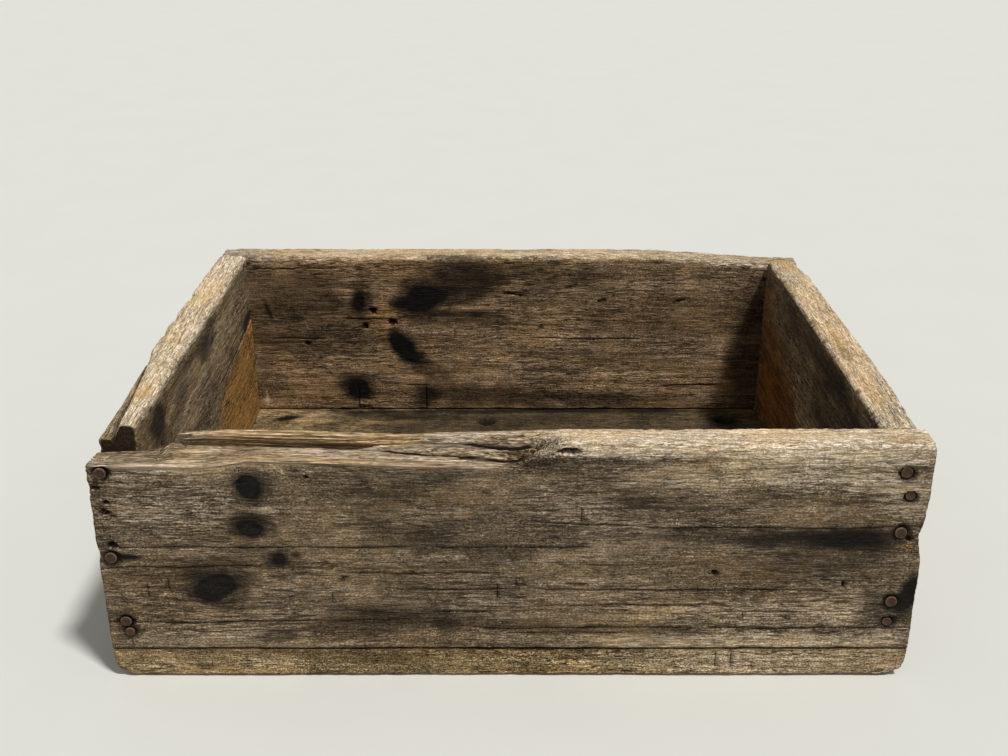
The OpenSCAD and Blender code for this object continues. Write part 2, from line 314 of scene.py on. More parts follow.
BACK_MARKS = marks(
    face_stain=[
        (-133, 130, 8, 14, 0.72), (-78, 132, 34, 22, 0.66), (-72, 132, 19, 11, 0.76),
        (-84, 122, 20, 7, 0.70, -0.25), (-34, 116, 38, 5, 0.6), (-92, 82, 25, 14, 0.75, -0.85),
        (-97, 86, 17, 8, 1.0, -0.9), (-72, 62, 26, 12, 0.5, -0.5), (-137, 44, 21, 16, 0.75),
        (-136, 42, 10, 9, 0.9), (-75, 36, 16, 13, 0.7), (-40, 148, 40, 30, 0.72), (30, 150, 60, 22, 0.38),
        (-130, 132, 14, 22, 0.45), (-190, 115, 76, 64, 0.55), (-30, 110, 50, 8, 0.45),
        (-20, 36, 64, 13, 0.5), (-190, 112, 8, 3.0, 0.50), (-214, 118, 2.6, 10, 0.55, 0.3),
        # The last stain, tall and narrow at the right end, is a painted shadow cast by the right end board.
        (90, 32, 100, 9, 0.5), (222, 70, 30, 90, 0.60),
    ],
    face_warm=[(-112, 110, 14, 20, 0.48), (-190, 80, 40, 14, 0.18)],
    face_pale=[
        (70, 70, 110, 26, 0.16), (120, 140, 80, 14, 0.16), (-160, 84, 60, 14, 0.25),
        (-136.2, 30, 1.6, 7, 0.7), (6, 66, 6, 4, 0.7), (-222, 33, 2, 8, 0.8),
    ],
    face_hole=[
        (-121, 118.7, 2.8, 2.8), (-104.4, 108.2, 3.2, 2.8), (-128.4, 103.4, 2.6, 2.2), (-181, 88, 1.7, 1.7),
    ],
    face_dent=[
        (-132, 24, 8, 1.0), (4, 134.5, 12, 1.1, 1.0, -0.15), (55, 141, 6.0, 1.3, 1.0, 0.3),
        (152, 128, 7.0, 1.3, 1.0, 0.3), (84, 128, 5.0, 1.6, 1.0, 0.2),
    ],
    top_warm=[
        (-190, 184, 40, 8, 0.45), (-90, 182, 50, 5, 0.40), (236, 184, 16, 9, 0.6), (60, 186, 40, 4, 0.3),
    ],
    back_knot=[(-96, 96, 9, 6.5, 0.75, 0.2), (142, 62, 11, 7, 0.75, -0.1)],
    back_stain=[
        (-96, 96, 24, 14, 0.45), (120, 60, 64, 20, 0.45), (226, 110, 24, 34, 0.5), (-40, 40, 120, 14, 0.45),
        (0, 95, 340, 110, 0.22),
    ],
    back_pale=[(40, 152, 130, 12, 0.35), (-200, 60, 46, 20, 0.3)],
    back_dent=[(-30, 124, 8, 1.0, 1.0, 0.2)],
)

LEFT_CRACKS = (
    Crack(58.0, ((-171, 20), (60, 171)), 2.4, 3.0, 1.0, "back"),
    Crack(108.0, ((40, 172),), 4.5, 9.0, 1.0),
    Crack(132.0, ((-171, 90),), 2.6, -2.0, 1.0, "back"),
)

LEFT_MARKS = marks(
    face_warm=[(40, 48, 60, 26, 0.4)],
    face_hole=[(146, 110.5, 34, 1.5, 1.0, 0.10), (0, 105, 1.7, 1.7)],
    face_pale=[(-40, 118, 110, 44, 0.20), (60, 146, 80, 22, 0.22), (10, 170, 220, 6.5, 0.75)],
    face_stain=[
        (-126, 150, 22, 16, 0.75), (8, 150, 28, 13, 0.65), (-70, 146, 20, 8, 0.35),
        (-120, 110, 50, 30, 0.15), (150, 118, 26, 7, 0.75, 0.12),
    ],
    top_warm=[
        (-124, -238, 16, 6, 0.75), (-27, -244, 14, 8, 0.55), (60, -240, 30, 6, 0.3),
        (0, -242, 180, 12, 0.22),
    ],
    back_stain=[(-80, 90, 60, 40, 0.4), (110, 60, 50, 30, 0.5), (20, 150, 90, 12, 0.4)],
    back_pale=[(60, 112, 90, 20, 0.3)],
    back_knot=[(64, 92, 8, 6.6, 0.75, 0.2), (-112, 60, 10, 6, 0.75, 0.1)],
)

RIGHT_CRACKS = (
    Crack(64.0, ((-171, -30), (70, 171)), 2.4, 2.0, 1.0, "back"),
    Crack(104.0, ((-150, 60),), 1.6, 2.0, 2.0),
    Crack(125.0, ((-60, 171),), 2.8, -3.0, 1.0, "back"),
)

RIGHT_MARKS = marks(
    face_warm=[(100, 62, 90, 56, 0.85), (150, 120, 26, 40, 0.35)],
    # The stains along the top and in the front half are partly painted shade, on a face turned from the
    # light.
    face_stain=[
        (100, 62, 110, 70, 0.40), (20, 154, 190, 14, 0.45), (-90, 120, 80, 44, 0.50),
        (-120, 60, 60, 40, 0.4),
    ],
    top_warm=[
        (0, 238, 180, 13, 0.28), (155, 240, 15, 8, 0.6), (-25, 238, 30, 6, 0.55), (-120, 236, 30, 5, 0.35),
    ],
    back_stain=[(70, 90, 70, 40, 0.4), (-110, 50, 40, 26, 0.5)],
    back_pale=[(-40, 120, 90, 22, 0.3)],
    back_knot=[(-30, 74, 10, 7, 0.75, 0.3), (120, 128, 7, 6, 0.75)],
)

REAR_PLANK_MARKS = marks(
    face_hole=[(-19.4, 146.3, 7.4, 7.0), (195.7, 148.4, 7.4, 6.4)],
    face_stain=[
        (-19.4, 146.3, 10, 7, 0.4), (195.7, 148.4, 16, 10, 0.6), (-203, 153, 14, 5, 1.0, 0.3),
        # The first stain here, along the rear edge at the foot of the back board, is painted shade in that
        # corner.
        (0, 169, 250, 5, 0.5), (60, 140, 280, 60, 0.63), (-110, 160, 60, 12, 0.5),
    ],
)
MIDDLE_PLANK_MARKS = marks(
    face_stain=[(0, 0, 300, 80, 0.66), (60, 10, 120, 30, 0.4)],
    face_knot=[(-90, 20, 11, 8, 0.75)],
    back_stain=[(80, 0, 70, 40, 0.4)],
    back_knot=[(-160, -24, 12, 8, 0.75)],
)
FRONT_PLANK_MARKS = marks(
    face_stain=[(0, -125, 300, 70, 0.66)],
    face_knot=[(130, -100, 10, 7, 0.75)],
    back_stain=[(-120, -120, 60, 40, 0.4)],
    back_knot=[(60, -140, 12, 8, 0.75)],
    low_pale=[(165, 10, 130, 15, 0.58), (-190, 10, 90, 14, 0.28)],
    low_stain=[(10, 8, 50, 5, 0.26), (-70, 12, 34, 5, 0.20), (-197, 8, 9, 3, 0.6)],
    low_crush=[(0, 11, 320, 16, 0.52), (18, 15, 34, 8, 0.75), (-129, 10, 14, 9, 0.7)],
    low_warm=[(60, 3, 110, 5, 0.35), (-190, 5, 46, 5, 0.3)],
)
PLANK_STROKES = (
    Crack(132.6, ((7, 19.5),), 0.9, where="low"),
    Crack(142.5, ((7, 21),), 1.1, where="low"),
    Crack(156.0, ((6, 12),), 0.8, where="low"),
)


# Shapes of single boards: each moves the points of a rounded board, in millimetres, and gives back
# any masks of its own

def follow(points, x):
    """The height at x of a line through points."""
    return np.interp(x, *zip(*points))


def plane_noise(x, y, seed, octaves=3):
    """Fractal noise over two axes."""
    return fractal(np.column_stack([x, y, np.zeros(len(x))]), seed, octaves)


def depth_share(point, low, high):
    """How deep each point lies in the board, from 0 at its low side to 1 at its high side."""
    return (point[:, 2] - low[2]) / (high[2] - low[2])


def pull_top(point, high, loss, reach=50.0):
    """Lower the top edge by loss, drawing the rows below it together."""
    point[:, 1] -= loss * np.clip((point[:, 1] - high[1] + reach) / reach, 0.0, 1.0)


def pull_end(point, edge, loss, reach=30.0):
    """Shorten the end at edge by loss, drawing the columns before it together."""
    side = math.copysign(1.0, edge)
    point[:, 0] -= side * loss * np.clip((side * (point[:, 0] - edge) + reach) / reach, 0.0, 1.0)


def ragged(point, seed, most):
    """How much an eroded end has lost at each height."""
    broad = plane_noise(point[:, 1] * 0.07, point[:, 2] * 0.05, seed)
    fine = plane_noise(point[:, 1] * 0.42, point[:, 2] * 0.2, seed + 9, 1)
    return np.clip(most * (0.30 + 0.45 * broad + 0.40 * fine), 0.0, 2.0 * most)


def chipped(along, depth, seed):
    """Where small chips are gone from the two top edges of a board."""

    def gone(side):
        broad = ramp(line_noise(along, 0.06, seed + side), 0.40, 0.90)
        return broad + 0.5 * ramp(line_noise(along, 0.23, seed + 4 + side), 0.30, 0.9)

    return gone(0) * ramp(depth, 0.28, 0.02) + 0.5 * gone(1) * ramp(depth, 0.72, 0.98)


def notched(along, depth, seed):
    """Where small splinters have broken from the arris at depth 0."""
    gaps = ramp(line_noise(along, 0.30, seed), 0.26, 0.55)
    gaps *= np.clip(0.50 + 0.9 * line_noise(along, 0.025, seed + 1), 0.0, 1.0)
    return gaps * ramp(depth, 0.17, 0.05)


# Heights of the riven top at its front and at its rear, how deep in the board its two ledges run, how
# wide the cracks at their feet stand open and how much each ledge climbs
RIVEN_FRONT = (
    (-256, 154.4), (-240, 153.6), (-186, 153.8), (-156, 158.6), (-99, 156.4), (-66, 155.0), (-30, 153.6),
    (-4, 153.0), (4, 154.0), (10, 157.5), (16, 162.0), (22, 166.0), (30, 169.0),
)
RIVEN_REAR = (
    (-256, 152.6), (-217, 154.8), (-208, 159.2), (-190, 160.0), (-160, 159.2), (-130, 158.4),
    (-100, 159.4), (-77, 163.4), (-56, 166.2), (-26, 167.4), (16, 168.6), (34, 169.0),
)
RIVEN_LEDGES = (
    (
        (-254, 0.86), (-112, 0.86), (-93, 0.82), (-75, 0.72), (-48, 0.56), (-34, 0.53), (-15, 0.45),
        (2, 0.34), (30, 0.22),
    ),
    (
        (-254, 0.95), (-80, 0.93), (-43, 0.82), (-25, 0.78), (-10, 0.66), (6, 0.54), (19, 0.40),
        (30, 0.34),
    ),
)
RIVEN_OPEN = (
    ((-130, 0.0), (-112, 1.0), (-70, 1.0), (-46, 0.5), (-30, 0.9), (-16, 1.0), (2, 1.0), (9, 0.0)),
    ((-90, 0.0), (-76, 0.5), (-56, 0.2), (-30, 0.3), (-12, 1.0), (16, 1.0), (24, 0.0)),
)
RIVEN_STEPS = (0.30, 0.45)
GROOVE_DEPTH = 1.65

# Where along the front the layers start and end, the riven top ends, sound wood starts, the end of the
# splinter's root is crushed, and the riven wood turns dull
LAYERS_START, LAYERS_END = (-136.0, -100.0), (32.0, 12.0)
RIVEN_END = (34.0, 8.0)
CHIPS_START, NOTCHES_START = (30.0, 60.0), (40.0, 60.0)
CRUSHED_START, CRUSHED_END = (-6.0, 6.0), (38.0, 26.0)
DULL_START = (-110.0, -160.0)

# Loss of the front board's ends at each height, the rounding of its right top corner, and the width of
# the dark joint line at its foot, at the left and at the right
BITE = (
    (22, 0.0), (60, 0.2), (80, 0.0), (90, 0.6), (99, 2.8), (109, 3.0), (113, 1.4), (121, 1.0), (131, 0.2),
    (161, 0.2), (169, 0.8),
)
LEFT_EDGE = ((22, 0.0), (86, 0.0), (92, 1.2), (98, 0.0), (134, 0.0), (139, 0.8), (143, 0.0), (157, 0.2))
FRONT_RAGGED = 0.6
FRONT_CORNER = 2.0
JOINT_LINE = (1.4, 0.6)


def ledge_line(along, ledge, seed):
    """How deep in the board a ledge runs, from 0 at the front to 1 at the rear."""
    waves = 0.025 * line_noise(along, 0.05, seed) + 0.012 * line_noise(along, 0.3, seed)
    return follow(ledge, along) + waves


def riven_ledges(along, depth, seed):
    """The climb over the ledges of the riven edge, and the open grooves and the dirt at their feet."""
    climb = 0.25 * depth
    groove = np.zeros(len(along))
    dirt = np.zeros(len(along))
    for index, (ledge, opening, rise) in enumerate(zip(RIVEN_LEDGES, RIVEN_OPEN, RIVEN_STEPS)):
        edge = ledge_line(along, ledge, seed + index)
        climb += rise * ramp(depth, edge, edge + 0.05)
        gape = np.clip(0.8 + 0.8 * line_noise(along, 0.06, seed + 40 + index), 0, 1)
        open_here = follow(opening, along) * gape
        groove = np.maximum(groove, open_here * ramp(np.abs(depth - edge + 0.015), 0.065, 0.03))
        wall = np.where(depth < edge + 0.10, np.maximum(3.0 - 170.0 * (depth - edge), -3.0), 0.0)
        foot = np.where(depth < edge, 3.0 * ramp(edge - depth, 0.08, 0.045), wall)
        dirt = np.where(np.abs(foot * open_here) > np.abs(dirt), foot * open_here, dirt)
    return climb, groove, dirt


def shape_front(point, low, high, seed):
    """The riven top left of the front board, with its ledges, and the eroded ends."""
    along = point[:, 0].copy()
    depth = depth_share(point, low, high)
    top = ramp(point[:, 1], high[1] - 3.0, high[1] - 1.0)
    layered = ramp(along, *LAYERS_START) * ramp(along, *LAYERS_END)
    riven = ramp(along, *RIVEN_END)
    climb, groove, dirt = riven_ledges(along, depth, seed)
    streak = plane_noise(along * 0.012, depth * 17.0, seed + 3)
    front, rear = follow(RIVEN_FRONT, along), follow(RIVEN_REAR, along)
    height = front + (rear - front) * (layered * climb + (1.0 - layered) * smooth(depth))
    height += riven * top * (0.9 * np.minimum(streak, 0.5) - 0.3) - GROOVE_DEPTH * layered * groove * top
    notches = notched(along, depth, seed + 80) * ramp(along, *NOTCHES_START)
    chips = 1.3 * chipped(along, depth, seed + 60) * ramp(along, *CHIPS_START) + 1.2 * notches
    pull_top(point, high, np.maximum(high[1] - height, 0.0) + chips)
    corner = np.clip(along - high[0] + FRONT_CORNER, 0.0, 0.9 * FRONT_CORNER)
    pull_top(point, high, FRONT_CORNER - np.sqrt(FRONT_CORNER**2 - corner**2), reach=12.0)
    pull_end(point, low[0], follow(LEFT_EDGE, point[:, 1]) + ragged(point, seed, FRONT_RAGGED))
    pull_end(point, high[0], follow(BITE, point[:, 1]) + ragged(point, seed + 20, FRONT_RAGGED))
    gap = np.interp(along, (low[0], high[0]), JOINT_LINE)
    joint = ramp(point[:, 1] - low[1], gap, 0.3 * gap) * (depth < 0.1)
    crushed = ramp(along, *CRUSHED_START) * ramp(along, *CRUSHED_END) * ramp(depth, 0.55, 0.30) * top
    fresh = top * riven
    dull = ramp(along, *DULL_START)
    return {
        "crack": 0.8 * dirt * layered * top + 0.9 * joint + 0.7 * notches * top,
        "rubbed": (1.0 - fresh * (0.44 + 0.36 * dull - 0.45 * streak)) * (1.0 - 0.75 * crushed),
        "crush": crushed,
        "drawn": fresh,
        "warm": fresh * np.clip(0.14 - 0.30 * streak, 0.0, 0.32),
    }


# How far the back board's top falls to the right, and how much its left end is cut back above
BACK_FALL, BACK_FALL_SPAN = 8.0, (100.0, 262.0)
BACK_CUT, BACK_CUT_SPAN = 3.0, (60.0, 150.0)


def shape_back(point, low, high, seed):
    """The fall of the back board's top towards its right end."""
    depth = depth_share(point, low, high)
    notches = notched(point[:, 0], depth, seed + 80)
    top = ramp(point[:, 1], high[1] - 4.0, high[1] - 1.5)
    fall = BACK_FALL * ramp(point[:, 0], *BACK_FALL_SPAN)
    fall += 1.6 * chipped(point[:, 0], depth, seed + 60) + 1.4 * notches
    wave = plane_noise(point[:, 0] * 0.02, point[:, 2] * 0.05, seed)
    pull_top(point, high, np.clip(fall + 0.1 + 0.5 * wave, 0.0, 12.0))
    pull_end(point, low[0], BACK_CUT * ramp(point[:, 1], *BACK_CUT_SPAN) + ragged(point, seed, 1.0))
    pull_end(point, high[0], ragged(point, seed + 20, 1.2))
    return {"crack": 0.7 * notches * top, "rubbed": 1.0 - 0.5 * notches}


# Foot and crest of the split in the left end's top, its depth, where it ends, and the upper rim of the
# golden wood at the rear of the inner face
SPLIT = (
    ((-171.5, 0.38), (-120, 0.26), (-60, 0.06), (-46, 0.03)),
    ((-171.5, 0.62), (-120, 0.45), (-60, 0.17), (-46, 0.10)),
)
SPLIT_DEPTH = 9.5
SPLIT_END, SPLIT_DEEPENS = (-44.0, -60.0), (-50.0, -171.0)
GOLDEN_RIM = ((0.0, 80.0), (60.0, 100.0), (104.0, 104.0), (172.0, 113.0))


def shape_left(point, low, high, seed):
    """The outer strip split off the top of the left end board, with the cleft beside it."""
    along = point[:, 0].copy()
    depth = depth_share(point, low, high)
    wave = plane_noise(along * 0.03, point[:, 2] * 0.1, seed)
    nicks = chipped(along, depth, seed + 8)
    notches = notched(along, 1.0 - depth, seed + 80)
    foot, crest = (ledge_line(along, line, seed + index) for index, line in enumerate(SPLIT))
    there = ramp(along, *SPLIT_END)
    split = ramp(depth, crest + 0.01, foot) * there
    cleft = ramp(np.abs(depth - foot), 0.075, 0.04) * there
    top = ramp(point[:, 1], high[1] - 3.0, high[1] - 1.0)
    loss = SPLIT_DEPTH * split * (0.62 + 0.38 * ramp(along, *SPLIT_DEEPENS)) + 3.0 * cleft
    loss += 2.2 * nicks * (1.0 - split) + 1.6 * notches
    pull_top(point, high, np.clip(loss + 0.3 + 0.5 * wave, 0.0, 14.0), reach=40.0)
    below = follow(GOLDEN_RIM, along) - point[:, 1] + 3.0 * wave
    golden = ramp(below, -1.0, 3.0) * ramp(along, 0.0, 70.0) * ramp(depth, 0.7, 0.9)
    return {
        "crack": np.maximum(0.95 * cleft, 0.6 * notches) * top,
        "rubbed": (1.0 - 0.8 * split * top) * (1.0 - 0.5 * nicks),
        "warm": 0.78 * golden,
    }


# How far the right end's top falls to the rear, and how far it swells outwards in its middle
RIGHT_FALL, RIGHT_FALL_SPAN = 3.0, (110.0, 175.0)
SWELL, SWELL_SPAN, SWELL_HEIGHT = 2.6, (171.0, 110.0), (40.0, 160.0)


def shape_right(point, low, high, seed):
    """The gentle waves along the right end board's top, which swells outwards in its middle."""
    wave = plane_noise(point[:, 0] * 0.02, point[:, 2] * 0.06, seed)
    depth = depth_share(point, low, high)
    notches = notched(point[:, 0], depth, seed + 80)
    top = ramp(point[:, 1], high[1] - 4.0, high[1] - 1.5)
    fall = RIGHT_FALL * ramp(point[:, 0], *RIGHT_FALL_SPAN)
    fall += 1.8 * chipped(point[:, 0], depth, seed + 60) + 1.8 * notches
    swell = SWELL * ramp(np.abs(point[:, 0]), *SWELL_SPAN) * ramp(point[:, 1], *SWELL_HEIGHT)
    point[:, 2] += swell * ramp(depth, 0.3, 1.0)
    pull_top(point, high, np.clip(fall + 0.2 + 0.6 * wave, 0.0, 8.0))
    return {"crack": 0.75 * notches * top, "rubbed": 1.0 - 0.5 * notches}


PLANK_CORNER = 14.0
PLANK_RAGGED = 0.9


def shape_plank(point, low, high, seed):
    """The worn lower corners at the ends of a bottom plank."""
    middle = np.clip(point[:, 0], low[0] + PLANK_CORNER, high[0] - PLANK_CORNER)
    level = np.maximum(point[:, 2], low[2] + PLANK_CORNER)
    out = np.column_stack([point[:, 0] - middle, point[:, 2] - level])
    reach = np.linalg.norm(out, axis=1)
    corner = (out[:, 0] != 0.0) & (out[:, 1] != 0.0)
    square = np.maximum(np.abs(out[:, 0]), np.abs(out[:, 1]))
    pull = np.where(corner, square / np.maximum(reach, 1e-6), 1.0)
    point[:, 0] = middle + out[:, 0] * pull
    point[:, 2] = level + out[:, 1] * pull
    pull_end(point, low[0], ragged(point, seed, PLANK_RAGGED))
    pull_end(point, high[0], ragged(point, seed + 20, PLANK_RAGGED))
    return {}


# Axes of a board in the frame: along it, across it and through it
ALONG_X = (0, 2, 1)
ALONG_Y = (1, 2, 0)
FLAT = (0, 1, 2)

FRONT = Board(
    "weathered_front_board", "front_board", "grey_board", ALONG_X, 0, (0.6, 0.8, 6.5, 1.2), 11,
    FRONT_CRACKS, FRONT_MARKS, shape_front, (1.8, 1.35, 1.0),
    strokes=FRONT_STROKES, ledges=RIVEN_LEDGES, ledge_span=(-256, -244, 76, 106), crisp=(30.0, 0.0),
)
BACK = Board(
    "weathered_back_board", "back_board", "brown_board", ALONG_X, 0, (0.8, 0.8, 7.0, 1.8), 23,
    BACK_CRACKS, BACK_MARKS, shape_back, (2.0, 1.5, 1.4), 0.60, BACK_STROKES,
)
LEFT = Board(
    "weathered_left_end", "left_end_board", "grey_board", ALONG_Y, 1, (0.8, 0.8, 3.5, 3.5), 37,
    LEFT_CRACKS, LEFT_MARKS, shape_left, (1.8, 1.5, 1.0), ledges=SPLIT, ledge_span=(-174, -173, -66, -48),
    end_dirt=1.0,
)
RIGHT = Board(
    "weathered_right_end", "right_end_board", "grey_board", ALONG_Y, 0, (0.8, 0.8, 3.5, 1.5), 41,
    RIGHT_CRACKS, RIGHT_MARKS, shape_right, (1.8, 1.5, 1.4), 0.80,
)
PLANKS = tuple(
    Board(
        f"worn_{node}", node, "tan_plank", FLAT, 1, radii, seed, (), plank_marks, shape_plank, spacing, 0.0,
        strokes, fine=1.2,
    )
    for node, radii, seed, plank_marks, spacing, strokes in (
        ("front_bottom_plank", (3.0, 0.8, 0.9, 0.9), 53, FRONT_PLANK_MARKS, (2.2, 2.0, 1.2), PLANK_STROKES),
        ("middle_bottom_plank", (0.9, 0.9, 0.9, 0.9), 59, MIDDLE_PLANK_MARKS, (2.2, 2.0, 1.2), ()),
        ("rear_bottom_plank", (0.9, 0.9, 3.0, 0.9), 61, REAR_PLANK_MARKS, (1.7, 1.3, 1.2), ()),
    )
)


# Boards

CRACK_LIP = 0.38
LIP_DIRT = 0.42
STROKE_DIRT = 0.9
LEAST_RADIUS = 0.5
END_RADIUS = 1.6
MOST_WEAR = 3.2
FAR = 9.0
MASKS = ("stain", "knot", "crack", "pale", "warm", "end", "crush")

# Depth of a pressed mark, how ragged its rim is and how much dirt lies in it
PRESSED = {"hole": (6.0, 0.28, 1.0), "dent": (1.2, 0.28, 0.9), "knot": (0.5, 0.0, 0.0)}


def read_points(mesh):
    """The places of a mesh's points."""
    place = np.empty(len(mesh.vertices) * 3)
    mesh.vertices.foreach_get("co", place)
    return place.reshape(-1, 3)


def cut_cube(name, counts):
    """The mesh of a cube cut into that many faces along each axis, and its points, from -1 to 1."""
    bm = bmesh.new()
    bmesh.ops.create_cube(bm, size=2.0)
    for axis, count in enumerate(counts):
        along = [e for e in bm.edges if abs(e.verts[0].co[axis] - e.verts[1].co[axis]) > 1e-4]
        bmesh.ops.subdivide_edges(bm, edges=along, cuts=count - 1, use_grid_fill=True)
    mesh = bpy.data.meshes.new(name)
    bm.to_mesh(mesh)
    bm.free()
    return mesh, read_points(mesh)


def crack_rows(low, high, cracks, spacing):
    """Heights of the rows of a board, three close rows at each crack, and each row's crack or -1."""
    rows, owner = [low], [-1]

    def fill(end):
        count = max(1, round((end - rows[-1]) / spacing))
        rows.extend(np.linspace(rows[-1], end, count + 1)[1:])
        owner.extend([-1] * count)

    for index, crack in enumerate(cracks):
        fill(crack.across - CRACK_LIP)
        rows.extend([crack.across, crack.across + CRACK_LIP])
        owner.extend([index, -1])
    fill(high)
    return np.array(rows), np.array(owner)


def between(stops, lines, place):
    """The value at each place between lines of values that lie at stops."""
    slot = np.clip(np.searchsorted(stops, place, side="right") - 1, 0, len(stops) - 2)
    share = (place - stops[slot]) / (stops[slot + 1] - stops[slot])
    lines, index = np.array(lines), np.arange(len(place))
    return lines[slot, index] * (1.0 - share) + lines[slot + 1, index] * share


def wander(along, across, cracks, low, high, seed):
    """How far the grain at each point strays across the board, following the cracks."""
    stops = np.array([low] + [c.across for c in cracks] + [high])
    still = np.zeros(len(along))
    strays = [still]
    for index, crack in enumerate(cracks):
        start, end = crack.spans[0][0], crack.spans[-1][1]
        t = np.clip((along - (start + end) / 2.0) / (end - start), -0.6, 0.6)
        free = 0.28 * min(stops[index + 1] - stops[index], stops[index + 2] - stops[index + 1], 3.0)
        stray = crack.rise * t + crack.bend * (4.0 * t * t - 0.5)
        stray += free * line_noise(along, 0.03, seed + index)
        stray += 0.3 * free * line_noise(along, 0.16, seed + 50 + index)
        strays.append(stray)
    return between(stops, [*strays, still], across)


def ellipse(mark, along, across):
    """Distance from a mark's middle, 1 at its rim."""
    cos, sin = math.cos(mark.tilt), math.sin(mark.tilt)
    a, b = along - mark.along, across - mark.across
    return np.hypot((a * cos + b * sin) / mark.half_along, (b * cos - a * sin) / mark.half_across)


def recess(point, inward, distance, depth):
    """Press points nearer than 1 to a mark into the wood."""
    pressed = ramp(distance, 1.12, 0.88)
    point += inward * (depth * pressed)[:, None]
    return pressed


def blend(masks, name, amount):
    """Lay one mask over what is there."""
    masks[name] = 1.0 - (1.0 - masks[name]) * (1.0 - np.clip(amount, 0.0, 1.0))


NAIL_NODES = tuple(name for name in sorted(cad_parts) if "nail" in name)
Nail = namedtuple("Nail", "node head into radius thick reach")


def find_nails():
    """The place, direction and size of every nail in the frame, in millimetres."""
    found = []
    for node in NAIL_NODES:
        bm = bmesh.new()
        bm.from_mesh(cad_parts[node].data)
        bmesh.ops.remove_doubles(bm, verts=bm.verts, dist=1e-6)
        left = set(bm.verts)
        while left:
            island, edge = [], [left.pop()]
            while edge:
                vert = edge.pop()
                island.append(vert.co / MM)
                near = {e.other_vert(vert) for e in vert.link_edges} & left
                left -= near
                edge.extend(near)
            found.append(measure_nail(node, np.array(island)))
        bm.free()
    return sorted(found, key=lambda nail: (nail.node, *nail.head))


def measure_nail(node, points):
    """A nail from the points of its solid: the head is at its wider end."""
    low, high = points.min(0), points.max(0)
    axis = int(np.argmax(high - low))
    middle = (low + high) / 2.0
    spread = np.linalg.norm(np.delete(points - middle, axis, 1), axis=1)
    radius = spread.max()
    at_head = points[spread > radius - 0.5, axis]
    into = np.zeros(3)
    into[axis] = 1.0 if at_head.mean() < middle[axis] else -1.0
    head = middle.copy()
    head[axis] = low[axis] if into[axis] > 0 else high[axis]
    return Nail(node, head, into, radius, np.ptp(at_head), high[axis] - low[axis])


NAILS = find_nails()


